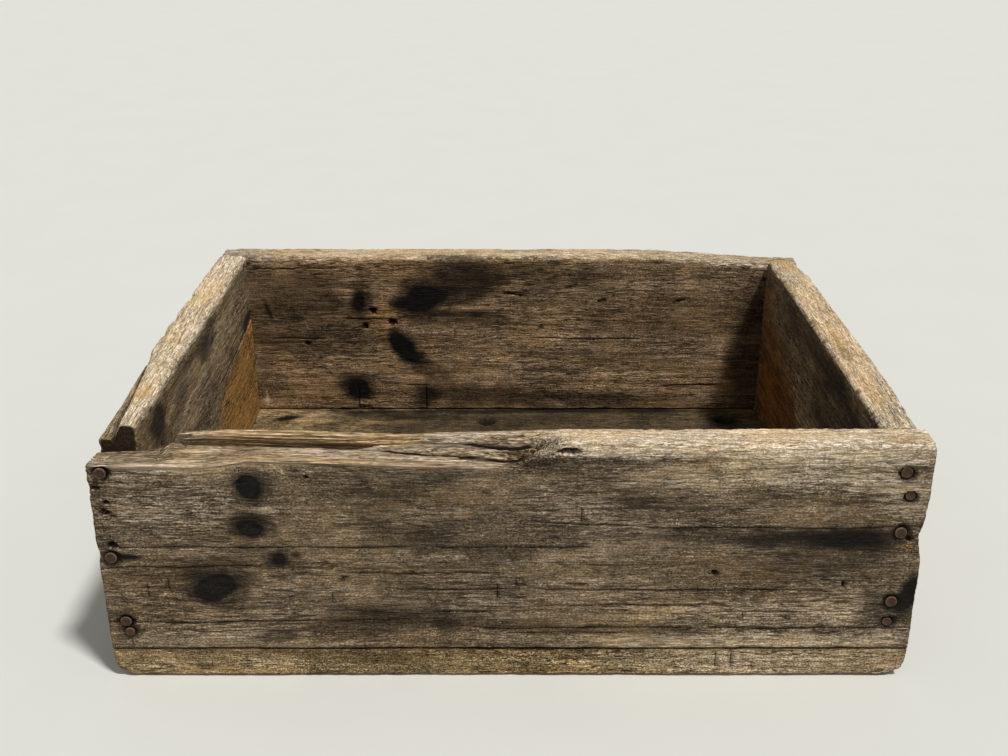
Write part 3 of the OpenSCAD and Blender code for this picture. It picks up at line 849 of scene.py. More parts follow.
class BoardWork:
    """A board on its way from a cut cube to a worn mesh, in millimetres along its own axes."""

    def __init__(self, board):
        """Cut the cube along the board's cracks and strokes and lay its lines along the grain."""
        self.board = board
        self.order = list(board.axes)
        self.low, self.high = (np.array(corner)[self.order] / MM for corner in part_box(board.node))
        columns, self.stroke_of = crack_rows(self.low[0], self.high[0], board.strokes, board.spacing[0])
        rows, self.crack_of = crack_rows(self.low[1], self.high[1], board.cracks, board.spacing[1])
        layers = round((self.high[2] - self.low[2]) / board.spacing[2])
        self.counts = np.array([len(columns) - 1, len(rows) - 1, layers])
        self.mesh, cube = cut_cube(board.name, self.counts)
        self.step = np.rint((cube + 1.0) / 2.0 * self.counts).astype(int)
        self.masks = {name: np.zeros(len(cube)) for name in MASKS}
        self.sides = {"face": (2, board.face), "back": (2, 1 - board.face), "low": (1, 0), "top": (1, 1)}
        self.on = {
            name: self.step[:, axis] == side * self.counts[axis]
            for name, (axis, side) in self.sides.items()
        }
        self.at = self.low + (self.high - self.low) * self.step / self.counts
        along, across = columns[self.step[:, 0]], rows[self.step[:, 1]]
        self.at[:, 0] = along
        self.at[:, 1] = across + wander(along, across, board.cracks, self.low[1], self.high[1], board.seed)
        if board.ledges:
            self.follow_ledges()

    def follow_ledges(self):
        """Draw the lines of the board's top along its ledges."""
        along, ledges = self.at[:, 0], self.board.ledges
        stops = np.linspace(0, self.counts[2], len(ledges) + 2).round().astype(int)
        lines = [ledge_line(along, ledge, self.board.seed + index) for index, ledge in enumerate(ledges)]
        depth = between(stops, [np.zeros(len(along)), *lines, np.ones(len(along))], self.step[:, 2])
        start, full, last, stop = self.board.ledge_span
        top = self.on["top"] * ramp(along, start, full) * ramp(along, stop, last)
        self.at[:, 2] += top * (self.low[2] + depth * (self.high[2] - self.low[2]) - self.at[:, 2])

    def inward(self, where):
        """The direction into the wood from one side."""
        axis, side = self.sides[where]
        return np.eye(3)[axis] * (1.0 - 2.0 * side)

    def darken(self, dirt):
        """Leave dirt, and round the nails painted shade as well, wherever there is more of it than before.
        """
        self.masks["crack"] = np.maximum(self.masks["crack"], dirt)

    def marked(self, *kinds):
        """The board's marks of these kinds, each with the distance of every point, 1 at its rim."""
        for mark in self.board.marks:
            if mark.kind in kinds:
                across = self.flat[:, 2 if mark.where in ("top", "low") else 1]
                yield mark, ellipse(mark, self.flat[:, 0], across)

    def round_arrises(self):
        """Round each corner of the section by its own radius and give the board its own shape."""
        board, at, low, high = self.board, self.at, self.low, self.high
        up, through = ((at - low) / (high - low)).T[1:]
        foot_low, foot_high, top_low, top_high = board.radii
        if any(board.crisp):
            top_low = top_low * (1.0 - 0.78 * ramp(at[:, 0], *board.crisp))
        foot = foot_low * (1.0 - through) + foot_high * through
        top = top_low * (1.0 - through) + top_high * through
        radius = foot * (1.0 - up) + top * up
        chips = fractal(at * 0.06, board.seed + 5)
        radius = np.clip(radius * (1.0 + 0.5 * chips), LEAST_RADIUS, (high - low).min() * 0.45)
        radius = np.column_stack([np.minimum(radius, END_RADIUS), radius, radius])
        core = np.clip(at, low + radius, high - radius)
        out = (at - core) / radius
        self.normal = out / np.maximum(np.linalg.norm(out, axis=1, keepdims=True), 1e-9)
        self.point = core + self.normal * radius
        self.near = {
            name: ramp(np.abs(self.point[:, axis] - (high if side else low)[axis]), 6.5, 3.0)
            for name, (axis, side) in self.sides.items()
        }
        self.own = board.shape(self.point, low, high, board.seed)
        self.flat = self.point.copy()
        self.end = np.abs(self.normal[:, 0])
        self.rough = fractal(at * (0.26, 0.46, 0.46), board.seed + 4)

    def draw_grain(self):
        """Draw the grain out where the wood is riven and let it flow round the knots."""
        self.grain = self.flat.copy()
        self.grain[:, 0] *= 1.0 - 0.7 * self.own.get("drawn", 0.0)
        for mark in self.board.marks:
            if mark.kind == "knot":
                size = (mark.half_along + mark.half_across) / 2.0
                a, b = self.flat[:, 0] - mark.along, self.flat[:, 1] - mark.across
                bow = b * np.minimum(1.0, (0.8 * size) ** 2 / np.maximum((a / 1.3) ** 2 + b**2, 1e-6))
                self.grain[:, 1] -= 0.7 * bow * self.near[mark.where]

    def paint_marks(self):
        """Lay the knots, stains and pale, warm and crushed patches into the masks."""
        blot = fractal(self.flat * (0.05, 0.11, 0.11), self.board.seed + 6, 4)
        for mark, distance in self.marked("knot", "stain", "pale", "warm", "crush"):
            strength = mark.strength * self.near[mark.where]
            if mark.kind == "knot":
                blend(self.masks, "stain", strength * ramp(distance + 0.24 * blot, 1.22, 0.82))
                core = strength * np.clip(1.15 - distance, 0, 1)
                self.masks["knot"] = np.maximum(self.masks["knot"], core)
            else:
                blend(self.masks, mark.kind, strength * ramp(distance + 0.36 * blot, 1.35, 0.35))

    def raise_grain(self, relief):
        """Raise the grain, with dips and pits, always into the wood, and rub the top pale."""
        seed, end, rough = self.board.seed, self.end, self.rough
        waves = fractal(self.grain * (0.008, 0.03, 0.03), seed + 1)
        ridges = fractal(self.grain * (0.012, 0.30, 0.30), seed + 2)
        pits = ramp(noise(self.grain * (0.10, 0.36, 0.36), seed + 3), 0.45, 0.8)
        depth = 0.25 + 0.3 * waves + (1 - end) * relief / MM * (0.6 + ridges) + 0.5 * pits
        depth += end * 0.35 * (0.5 + rough)
        depth += self.masks["crush"] * (1.0 - 0.8 * end) * 1.5 * (0.7 + rough)
        rubbed = ramp(self.normal[:, 1], 0.10, 0.65) * self.board.pale_top * self.own.get("rubbed", 1.0)
        depth += 0.5 * rubbed * (0.4 + rough)
        self.point -= self.normal * np.clip(depth, 0.0, MOST_WEAR)[:, None]
        speck = fractal(self.flat * (0.10, 0.28, 0.28), seed + 9)
        blend(self.masks, "pale", rubbed * (1.02 + 0.25 * speck))

    def press_marks(self):
        """Sink the holes, dents and knots into the wood."""
        for mark, distance in self.marked(*PRESSED):
            depth, uneven, dirt = PRESSED[mark.kind]
            distance = np.where(self.on[mark.where], distance + uneven * self.rough, FAR)
            self.darken(dirt * recess(self.point, self.inward(mark.where), distance, depth))

    def open_cracks(self):
        """Open the cracks along their rows, with ends that close unless they reach the board's."""
        along = self.at[:, 0]
        for index, crack in enumerate(self.board.cracks):
            gape = np.clip(0.95 + 0.5 * line_noise(along, 0.05, self.board.seed + 70 + index), 0.5, 1.25)
            opened = np.zeros(len(along))
            for start, stop in crack.spans:
                left = 1.0 if start <= self.low[0] + 6.0 else ramp(along, start - 1.0, start + 12.0)
                right = 1.0 if stop >= self.high[0] - 6.0 else ramp(along, stop + 1.0, stop - 12.0)
                opened = np.maximum(opened, left * right * ((along >= start - 1) & (along <= stop + 1)))
            dirt = min(1.0, 0.45 + crack.depth * 0.25)
            self.open_line(crack, opened * gape, 1, np.flatnonzero(self.crack_of == index)[0], dirt)

    def open_strokes(self):
        """Open the strokes along their columns."""
        for index, stroke in enumerate(self.board.strokes):
            (start, stop), = stroke.spans
            across = self.at[:, 2 if stroke.where in ("top", "low") else 1]
            opened = ramp(across, start, start + 1.5) * ramp(across, stop, stop - 1.5)
            self.open_line(stroke, opened, 0, np.flatnonzero(self.stroke_of == index)[0], STROKE_DIRT)

    def open_line(self, crack, opened, axis, line, dirt):
        """Sink one line of the mesh as the middle of a crack and darken it and its lips."""
        opened = opened * self.on[crack.where]
        middle = self.step[:, axis] == line
        lips = np.isin(self.step[:, axis], (line - 1, line + 1))
        self.point += self.inward(crack.where) * (crack.depth * np.where(middle, opened, 0.0))[:, None]
        self.darken(dirt * opened * np.where(middle, 1.0, np.where(lips, LIP_DIRT, 0.0)))

    def crush_round_nails(self):
        """Crush the wood round each nail that enters this board."""
        low, high = self.low, self.high
        for nail in NAILS:
            head, into = nail.head[self.order], nail.into[self.order]
            if abs(into[2]) < 0.5 or not np.all((head > low - 2.0) & (head < high + 2.0)):
                continue
            entry = self.step[:, 2] == (0 if into[2] > 0 else self.counts[2])
            sunk = (head[2] - low[2]) if into[2] > 0 else (high[2] - head[2])
            turn = float(lattice(*np.rint(head).astype(np.int64), self.board.seed)) - 0.5
            aside = 0.22 * nail.radius * np.array([math.cos(turn), math.sin(turn)])
            out = self.flat[:, :2] - head[:2] - aside
            spot = np.hypot(out[:, 0], out[:, 1] * 1.1) / nail.radius + 0.26 * self.rough
            depth = max(sunk + nail.thick * 0.6, 0.6) + 0.8
            # The pressed ring round each nail is darkened: dirt, and painted shade in the gap round the
            # head, set off to one side.
            self.darken(recess(self.point, into, np.where(entry, spot / 1.36, FAR), depth))
            blend(self.masks, "stain", np.where(entry, 0.6 * ramp(spot, 2.6, 1.0), 0.0))

    def finish(self):
        """Add the shape's own masks and write the points, the grain and the masks into the mesh."""
        board, masks, mesh = self.board, self.masks, self.mesh
        for name in ("warm", "crush"):
            blend(masks, name, self.own.get(name, 0.0))
        dirt, old = self.own.get("crack", np.zeros(len(self.point))), masks["crack"]
        masks["crack"] = np.where((dirt < 0.0) & (old == 0.0), dirt, np.maximum(old, dirt))
        masks["end"] = board.end_dirt * ramp(self.end, 0.6, 0.9)
        place = np.empty_like(self.point)
        place[:, self.order] = self.point * MM
        mesh.vertices.foreach_set("co", place.ravel())
        write_vector(mesh, "grain", (self.grain * board.fine + board.seed * 37.0) * MM)
        write_colour(mesh, "marks", masks["stain"], masks["knot"], masks["crack"], masks["crush"])
        write_colour(mesh, "tones", masks["pale"], masks["warm"], masks["end"], np.ones(len(place)))
        return face_outwards(mesh)


def model_board(board, relief):
    """The board as a dense mesh with its wear modelled, and its masks as attributes."""
    work = BoardWork(board)
    work.round_arrises()
    work.draw_grain()
    work.paint_marks()
    work.raise_grain(relief)
    work.press_marks()
    work.open_cracks()
    work.open_strokes()
    work.crush_round_nails()
    return work.finish()


def write_vector(mesh, name, values):
    """Store a vector for each point."""
    layer = mesh.attributes.new(name, "FLOAT_VECTOR", "POINT")
    layer.data.foreach_set("vector", values.astype(np.float32).ravel())


def write_colour(mesh, name, *masks):
    """Store four masks for each point as one colour and its alpha."""
    layer = mesh.attributes.new(name, "FLOAT_COLOR", "POINT")
    layer.data.foreach_set("color", np.column_stack(masks).astype(np.float32).ravel())


def face_outwards(mesh):
    """Turn the faces outwards and shade them smoothly."""
    bm = bmesh.new()
    bm.from_mesh(mesh)
    bmesh.ops.recalc_face_normals(bm, faces=bm.faces)
    for face in bm.faces:
        face.smooth = True
    bm.to_mesh(mesh)
    bm.free()
    mesh.update()
    return mesh


def add_piece(name, mesh, slot, material, *nodes):
    """Put a finished mesh in the scene, riding on the crate in place of its nodes."""
    piece = bpy.data.objects.new(name, mesh)
    bpy.context.scene.collection.objects.link(piece)
    mesh.materials.append(material)
    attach(piece, BODY)
    if nodes:
        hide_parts(*nodes)


# The splinter: its top and foot as heights along the front, its front and its straight rear as places
# through the board

SPLINTER_TOP = (
    (-208, 164.4), (-203, 166.2), (-187, 168.4), (-170, 168.6), (-150, 168.0), (-120, 167.2),
    (-101, 166.6), (-77, 165.8), (-50, 164.8), (-20, 163.0),
)
SPLINTER_FOOT = (
    (-208, 161.6), (-203, 160.8), (-187, 161.2), (-150, 160.0), (-101, 158.6), (-77, 157.0),
    (-50, 156.0), (-20, 156.0),
)
SPLINTER_FRONT = (
    (-208, -176.0), (-190, -177.4), (-150, -178.0), (-101, -178.2), (-64, -175.6), (-40, -173.2),
    (-20, -172.6),
)
SPLINTER_REAR = -172.0
SPLINTER_COUNTS = (190, 14, 14)
SPLINTER_SEED = 71
SPLINTER_GOLDEN = (-202.0, -178.0)
TIP_LENGTH, TIP_LAG = 60.0, 11.0


def model_splinter():
    """The long splinter that still hangs on the front board's riven top."""
    mesh, cube = cut_cube("front_splinter", SPLINTER_COUNTS)
    start, end = SPLINTER_TOP[0][0], SPLINTER_TOP[-1][0]
    along = start + (end - start) * (cube[:, 0] + 1.0) / 2.0
    strand = np.column_stack([cube[:, 1] * 1.7, cube[:, 2] * 1.7, along * 0.008])
    uneven = 1.0 + fractal(strand * (1.0, 1.0, 0.0), SPLINTER_SEED)
    along = along + ramp(along, start + TIP_LENGTH, start) * TIP_LAG * uneven
    top, foot = follow(SPLINTER_TOP, along), follow(SPLINTER_FOOT, along)
    front = follow(SPLINTER_FRONT, along)
    round_off = np.maximum(np.hypot(cube[:, 1], cube[:, 2]), 1e-6)
    square = np.maximum(np.abs(cube[:, 1]), np.abs(cube[:, 2]))
    ease = 1.0 - 0.45 * (1.0 - square / round_off)
    point = np.column_stack([
        along,
        front + (SPLINTER_REAR - front) * (cube[:, 2] * ease + 1.0) / 2.0,
        foot + (top - foot) * (cube[:, 1] * ease + 1.0) / 2.0,
    ])
    ridge = fractal(strand * (2.0, 2.0, 1.0), SPLINTER_SEED + 1)
    middle = np.column_stack([along, (front + SPLINTER_REAR) / 2.0, (top + foot) / 2.0])
    point += (point - middle) * np.clip(0.55 * ridge - 0.16, -0.5, 0.08)[:, None] * (0.0, 1.0, 1.0)
    mesh.vertices.foreach_set("co", (point * MM).ravel())
    streak = fractal(strand * (2.6, 2.6, 1.0), SPLINTER_SEED + 2)
    none, full = np.zeros(len(point)), np.ones(len(point))
    # The lower side of the splinter is darkened and kept from paling: painted shade beneath it.
    underside_shade = ramp(cube[:, 1], 0.1, -0.8)
    seam = np.maximum(ramp(ridge, -0.10, -0.45), 0.6 * ramp(streak, -0.2, -0.5))
    pale = np.clip(0.78 + 0.9 * streak - 0.6 * underside_shade, 0, 1)
    warm = np.clip(0.20 + 0.4 * ramp(along, *SPLINTER_GOLDEN) - 0.7 * streak, 0, 0.85)
    write_vector(mesh, "grain", point[:, [0, 2, 1]] * (0.3, 1.0, 1.0) * MM)
    write_colour(mesh, "marks", 0.55 * underside_shade, none, 0.75 * seam, none)
    write_colour(mesh, "tones", pale, warm, none, full)
    return face_outwards(mesh)


# Nails, each with a dished head in shares of its radius and of its thickness

NAIL_HEAD = (
    (0.0, 0.24), (0.35, 0.22), (0.6, 0.16), (0.78, 0.03), (0.88, 0.0), (0.96, 0.10), (1.0, 0.35),
    (0.98, 0.8), (0.9, 1.0),
)
NAIL_SHANK = 0.45
NAIL_POINT = 6.0
NAIL_STEPS = 28


def turn_nail(nail):
    """One nail as a spun profile: a flat hammered head on a round shank with a point."""
    shank, head = nail.radius * NAIL_SHANK, nail.thick + 0.4
    rings = [(nail.radius * r, head * z) for r, z in NAIL_HEAD]
    rings += [(shank, head + 0.2), (shank, nail.reach - NAIL_POINT), (0.0, nail.reach)]
    bm = bmesh.new()
    verts = [bm.verts.new((r, 0.0, z)) for r, z in rings]
    edges = [bm.edges.new(pair) for pair in zip(verts, verts[1:])]
    bmesh.ops.spin(
        bm, geom=verts + edges, cent=(0, 0, 0), axis=(0, 0, 1), angle=math.tau, steps=NAIL_STEPS,
        use_merge=True,
    )
    bmesh.ops.remove_doubles(bm, verts=bm.verts, dist=1e-4)
    bmesh.ops.recalc_face_normals(bm, faces=bm.faces)
    return bm


def list_faces(bm, start):
    """Faces as rows of points counted from start, sorted because merging lists them in any order."""
    bm.verts.index_update()
    rows = [[start + vert.index for vert in face.verts] for face in bm.faces]
    return sorted(rows, key=sorted)


def model_nails(node, dent, seed):
    """All the nails of one node, each battered in its own way and put in its place."""
    points, faces = [], []
    for index, nail in enumerate(n for n in NAILS if n.node == node):
        bm = turn_nail(nail)
        batter(bm, nail, dent, seed + index)
        turn = Vector((0, 0, 1)).rotation_difference(Vector(nail.into)).to_matrix().to_4x4()
        bm.transform(Matrix.Scale(MM, 4) @ Matrix.Translation(nail.head) @ turn)
        faces += list_faces(bm, len(points))
        points += [vert.co[:] for vert in bm.verts]
        bm.free()
    mesh = bpy.data.meshes.new(f"rusted_{node}")
    mesh.from_pydata(points, [], faces, shade_flat=False)
    mark_rims(mesh, node)
    return mesh


def mark_rims(mesh, node):
    """Store how near each point lies to the rim of its nail's head."""
    place = read_points(mesh) / MM
    rim = np.zeros(len(place))
    for nail in (n for n in NAILS if n.node == node):
        out = place - nail.head
        deep = out @ nail.into
        wide = np.linalg.norm(out - deep[:, None] * nail.into, axis=1) / nail.radius
        rim = np.maximum(rim, ramp(wide, 0.76, 0.88) * (wide < 1.1) * (np.abs(deep) < nail.thick))
    layer = mesh.attributes.new("rim", "FLOAT", "POINT")
    layer.data.foreach_set("value", rim.astype(np.float32))


def batter(bm, nail, dent, seed):
    """Dent a nail's head and knock its rim out of round, always inside its first outline."""
    verts = [v for v in bm.verts if v.co.z < nail.thick + 0.8]
    place = np.array([v.co for v in verts])
    spread = fractal(place * (0.45, 0.45, 0.45), seed)
    for vert, amount in zip(verts, spread):
        rim = min(1.0, math.hypot(vert.co.x, vert.co.y) / nail.radius)
        vert.co.z += dent / MM * (1.0 + amount)
        squeeze = 1.0 - 0.05 * rim * (1.0 + amount)
        vert.co.x *= squeeze
        vert.co.y *= squeeze


# Node helpers, and the places of the colour sockets on a Mix node

MIX_FACTOR, MIX_A, MIX_B, MIX_RESULT = 0, 6, 7, 2


def add_node(tree, kind, inputs=None, **settings):
    """A node with its settings, and with its inputs set to values or linked to sockets."""
    node = tree.nodes.new(kind)
    for name, value in settings.items():
        setattr(node, name, value)
    for key, value in (inputs or {}).items():
        if isinstance(value, bpy.types.NodeSocket):
            tree.links.new(value, node.inputs[key])
        else:
            node.inputs[key].default_value = value
    return node


def calc(tree, operation, a, b=0.0, clamp=False):
    """One step of arithmetic on one or two values."""
    node = add_node(tree, "ShaderNodeMath", {0: a, 1: b}, operation=operation, use_clamp=clamp)
    return node.outputs[0]


def times(tree, a, b, clamp=False):
    """The product of two values."""
    return calc(tree, "MULTIPLY", a, b, clamp)


def weigh(tree, *terms):
    """The sum of values, each times its weight."""
    total = None
    for value, weight in terms:
        term = times(tree, value, weight)
        total = term if total is None else calc(tree, "ADD", total, term)
    return total


def mix(tree, factor, a, b, blend="MIX"):
    """One colour over another."""
    inputs = {MIX_FACTOR: factor, MIX_A: a, MIX_B: b}
    settings = {"data_type": "RGBA", "blend_type": blend, "clamp_factor": True}
    return add_node(tree, "ShaderNodeMix", inputs, **settings).outputs[MIX_RESULT]


def shade(tree, tone, factor):
    """A colour made lighter or darker by a factor."""
    return add_node(tree, "ShaderNodeVectorMath", {0: tone, "Scale": factor}, operation="SCALE").outputs[0]


def span(tree, value, low, high, to_low=0.0, to_high=1.0):
    """A value's range stretched to another, eased at both ends."""
    inputs = {"Value": value, "From Min": low, "From Max": high, "To Min": to_low, "To Max": to_high}
    return add_node(tree, "ShaderNodeMapRange", inputs, interpolation_type="SMOOTHSTEP").outputs["Result"]


def stretched(tree, vector, stretch, detail=2.0, roughness=0.5, distortion=0.0):
    """Noise drawn out along the grain."""
    scaled = add_node(tree, "ShaderNodeVectorMath", {0: vector, 1: stretch}, operation="MULTIPLY")
    inputs = {"Vector": scaled.outputs[0], "Scale": 1.0}
    inputs |= {"Detail": detail, "Roughness": roughness, "Distortion": distortion}
    return add_node(tree, "ShaderNodeTexNoise", inputs).outputs["Fac"]


def new_group(name, inputs, outputs):
    """An empty shader node group with named sockets."""
    tree = bpy.data.node_groups.new(name, "ShaderNodeTree")
    for direction, sockets in (("INPUT", inputs), ("OUTPUT", outputs)):
        for socket, kind in sockets:
            tree.interface.new_socket(name=socket, in_out=direction, socket_type=f"NodeSocket{kind}")
    return tree, tree.nodes.new("NodeGroupInput"), tree.nodes.new("NodeGroupOutput")


# Noises of the grain: how often each repeats in a metre along the grain and across it, its detail,
# roughness and distortion, and the range of it that is stretched from 0 to 1
FIBRE_NOISES = {
    "bands": (3.2, 42, 3.0, 0.60, 0.4, 0.36, 0.64),
    "strands": (10, 230, 3.0, 0.62, 0.2, 0.36, 0.64),
    "fibre": (115, 1000, 2.0, 0.60, 0.4, 0.38, 0.62),
    "fuzz": (750, 2100, 1.0, 0.60, 0.0, 0.38, 0.62),
    "grit": (620, 800, 2.0, 0.65, 0.0, 0.38, 0.62),
    "film": (18, 27, 6.0, 0.68, 0.3, 0.43, 0.57),
    "ochre": (13, 31, 5.0, 0.65, 0.4, 0.44, 0.60),
    "dashes": (130, 760, 1.0, 0.55, 0.5, 0.60, 0.64),
    "scuffs": (70, 90, 5.0, 0.75, 0.0, 0.56, 0.68),
    "flecks": (230, 540, 2.0, 0.60, 0.6, 0.60, 0.66),
}
Grain = namedtuple("Grain", (*FIBRE_NOISES, "hairs", "crackle", "saw", "rings"))
RING_TURNS = 300.0


def contour_lines(tree, grain, stretch, width, distortion=0.1):
    """Thin wandering lines along the middle heights of a noise."""
    height = stretched(tree, grain, stretch, 1.0, 0.5, distortion)
    away = calc(tree, "ABSOLUTE", calc(tree, "SUBTRACT", height, 0.5))
    return span(tree, away, width, 0.25 * width)


def wood_fibre_group():
    """Grain of weathered wood, from broad bands to fibres, hairlines, dirt, scuffs, saw marks and rings."""
    found = bpy.data.node_groups.get("wood_fibre")
    if found:
        return found
    outputs = [(name.title(), "Float") for name in Grain._fields]
    tree, start, end = new_group("wood_fibre", [("Grain", "Vector")], outputs)
    grain = start.outputs["Grain"]
    made = {}
    for name, (along, across, detail, roughness, distortion, low, high) in FIBRE_NOISES.items():
        height = stretched(tree, grain, (along, across, across), detail, roughness, distortion)
        made[name] = span(tree, height, low, high)
    long_hairs = contour_lines(tree, grain, (15, 300, 300), 0.034)
    short_hairs = contour_lines(tree, grain, (38, 640, 640), 0.042)
    hairs = calc(tree, "MAXIMUM", long_hairs, short_hairs)
    made["hairs"] = times(tree, hairs, span(tree, made["ochre"], 0.0, 1.0, 0.95, 0.35))
    crackle = contour_lines(tree, grain, (210, 300, 300), 0.038, 1.2)
    made["crackle"] = times(tree, crackle, made["film"])
    made["dashes"] = times(tree, made["dashes"], span(tree, made["ochre"], 0.0, 1.0, 1.0, 0.3))
    made["saw"] = stretched(tree, grain, (640, 10, 10), 1.0, 0.5)
    growth = stretched(tree, grain, (2, 15, 15), 1.0, 0.35)
    made["rings"] = calc(tree, "SINE", times(tree, growth, RING_TURNS))
    for name, value in made.items():
        tree.links.new(value, end.inputs[name.title()])
    return tree


WOOD_MASKS = ("Stain", "Knot", "Crack", "Crush", "Pale", "Warm", "End")
WOOD_COLOURS = ("Wood", "Film", "Ochre", "Dark", "Soaked", "Bare", "Riven", "Gold")

# Tints of the dark and of the light fibres, in weathered wood and in rubbed wood
DARK_TINT, LIGHT_TINT = (1.08, 0.98, 0.80, 1.0), (0.96, 1.0, 1.12, 1.0)
RUBBED_DARK_TINT, RUBBED_LIGHT_TINT = (1.10, 0.96, 0.72, 1.0), (0.97, 1.0, 1.10, 1.0)
KNOT_RINGS = 42.0


def product(tree, *factors):
    """Values multiplied together, each first stretched from 0 to 1 onto its own range."""
    total = None
    for value, low, high in factors:
        inputs = {"Value": value, "To Min": low, "To Max": high}
        term = add_node(tree, "ShaderNodeMapRange", inputs).outputs["Result"]
        total = term if total is None else times(tree, total, term)
    return total


def weathered_tone(tree, given, grain):
    """Wood in soft patches of brown, ochre and grey film, streaked down to single fibres, and its light."""
    fine = product(tree, (grain.fibre, 0.72, 1.26), (grain.fuzz, 0.68, 1.32), (grain.grit, 0.70, 1.30))
    broad = product(tree, (grain.bands, 0.80, 1.20), (grain.strands, 0.82, 1.18), (grain.saw, 0.90, 1.10))
    light = times(tree, fine, broad)
    base = mix(tree, times(tree, grain.ochre, 0.30), given["Wood"], given["Ochre"])
    base = mix(tree, times(tree, grain.film, 0.40), base, given["Film"])
    base = mix(tree, times(tree, grain.scuffs, 0.14), base, given["Bare"])
    base = mix(tree, times(tree, grain.flecks, 0.26), base, given["Bare"])
    tint = mix(tree, span(tree, light, 0.5, 1.5), DARK_TINT, LIGHT_TINT)
    return mix(tree, 1.0, shade(tree, base, light), tint, "MULTIPLY"), light


def rubbed_tone(tree, given, grain, base):
    """The base with its rubbed and riven wood, and where it is rubbed."""
    fine = ((grain.fibre, 0.70, 1.25), (grain.grit, 0.74, 1.22))
    worn = product(tree, *fine, (grain.strands, 0.84, 1.14), (grain.scuffs, 0.97, 1.14))
    aged = mix(tree, span(tree, worn, 0.45, 1.20), RUBBED_DARK_TINT, RUBBED_LIGHT_TINT)
    edge = weigh(tree, (given["Pale"], 1.5), (grain.film, -0.25), (grain.fibre, 0.35), (grain.grit, 0.25))
    rubbed = times(tree, given["Pale"], span(tree, edge, 0.05, 0.95))
    bare = mix(tree, times(tree, grain.ochre, 0.40), given["Bare"], given["Gold"])
    bare = mix(tree, 1.0, shade(tree, bare, worn), aged, "MULTIPLY")
    base = mix(tree, rubbed, base, bare)
    edge = weigh(tree, (given["Warm"], 1.5), (grain.strands, 0.40), (grain.fibre, 0.30))
    warmed = times(tree, given["Warm"], span(tree, edge, 0.20, 0.90))
    riven = mix(tree, given["Pale"], given["Riven"], given["Gold"])
    return mix(tree, warmed, base, shade(tree, riven, worn)), rubbed


def stained_tone(tree, given, grain, base, light):
    """The base with stains, among them painted shade and shadow, that keep some of the grain, knots with
    rings, and crushed fibre.
    """
    ring = calc(tree, "SINE", times(tree, given["Knot"], KNOT_RINGS))
    ring = times(tree, weigh(tree, (ring, 0.018), (given["Knot"], -0.014)), given["Knot"])
    edge = weigh(tree, (given["Stain"], 1.6), (grain.film, 0.40), (grain.fibre, 0.20), (grain.grit, 0.25))
    stain_and_shade = times(tree, times(tree, given["Stain"], 1.2, True), span(tree, edge, 0.30, 1.25))
    stain_and_shade = calc(tree, "ADD", stain_and_shade, ring, True)
    base = mix(tree, stain_and_shade, base, shade(tree, given["Soaked"], light))
    broken = times(tree, given["Crush"], span(tree, grain.grit, 0.75, 0.15, 0.0, 0.75))
    return mix(tree, broken, base, given["Dark"])


def dirty_tone(tree, given, grain, base, rubbed):
    """The base with dirt in its hairlines, crackle, dashes, end grain and cracks."""
    lines = calc(tree, "MAXIMUM", times(tree, grain.hairs, 0.78), times(tree, grain.crackle, 0.74))
    lines = times(tree, lines, span(tree, rubbed, 0.0, 1.0, 1.0, 0.58))
    specks = times(tree, grain.dashes, span(tree, rubbed, 0.3, 1.0, 1.0, 0.5))
    specks = times(tree, specks, given["Speckle"])
    rings = span(tree, grain.rings, -0.4, 1.0)
    pores = product(tree, (grain.grit, 1.0, 0.74), (rings, 0.66, 1.0), (grain.film, 0.80, 1.0))
    sealed = span(tree, given["End"], 0.88, 1.0, 0.0, 0.93)
    grimy = calc(tree, "MAXIMUM", times(tree, given["End"], pores), sealed)
    for dirt in (lines, specks, grimy, given["Crack"]):
        base = mix(tree, dirt, base, given["Dark"])
    return base


def weathered_wood_group():
    """Colour, roughness and height of weathered wood from its grain and masks."""
    found = bpy.data.node_groups.get("weathered_wood")
    if found:
        return found
    sockets = [("Grain", "Vector"), ("Speckle", "Float")]
    sockets += [(n, "Float") for n in WOOD_MASKS] + [(n, "Color") for n in WOOD_COLOURS]
    results = [("Color", "Color"), ("Roughness", "Float"), ("Height", "Float")]
    tree, start, end = new_group("weathered_wood", sockets, results)
    given = start.outputs
    fibres = add_node(tree, "ShaderNodeGroup", {"Grain": given["Grain"]}, node_tree=wood_fibre_group())
    grain = Grain(*(fibres.outputs[name.title()] for name in Grain._fields))
    base, light = weathered_tone(tree, given, grain)
    base, rubbed = rubbed_tone(tree, given, grain, base)
    base = stained_tone(tree, given, grain, base, light)
    base = dirty_tone(tree, given, grain, base, rubbed)
    raised = ((grain.strands, 0.25), (grain.fibre, 0.35), (grain.grit, 0.15))
    sunk = ((grain.hairs, -0.5), (grain.crackle, -0.4), (grain.dashes, -0.5))
    tree.links.new(base, end.inputs["Color"])
    tree.links.new(span(tree, grain.fibre, 0.0, 1.0, 0.95, 0.78), end.inputs["Roughness"])
    tree.links.new(weigh(tree, *raised, *sunk), end.inputs["Height"])
    return tree


def rgba(values):
    """A colour setting with full alpha."""
    return (*values, 1.0)


def new_material(name):
    """A material with an empty Principled surface."""
    material = bpy.data.materials.new(name)
    material.use_nodes = True
    tree = material.node_tree
    return material, tree, tree.nodes["Principled BSDF"]


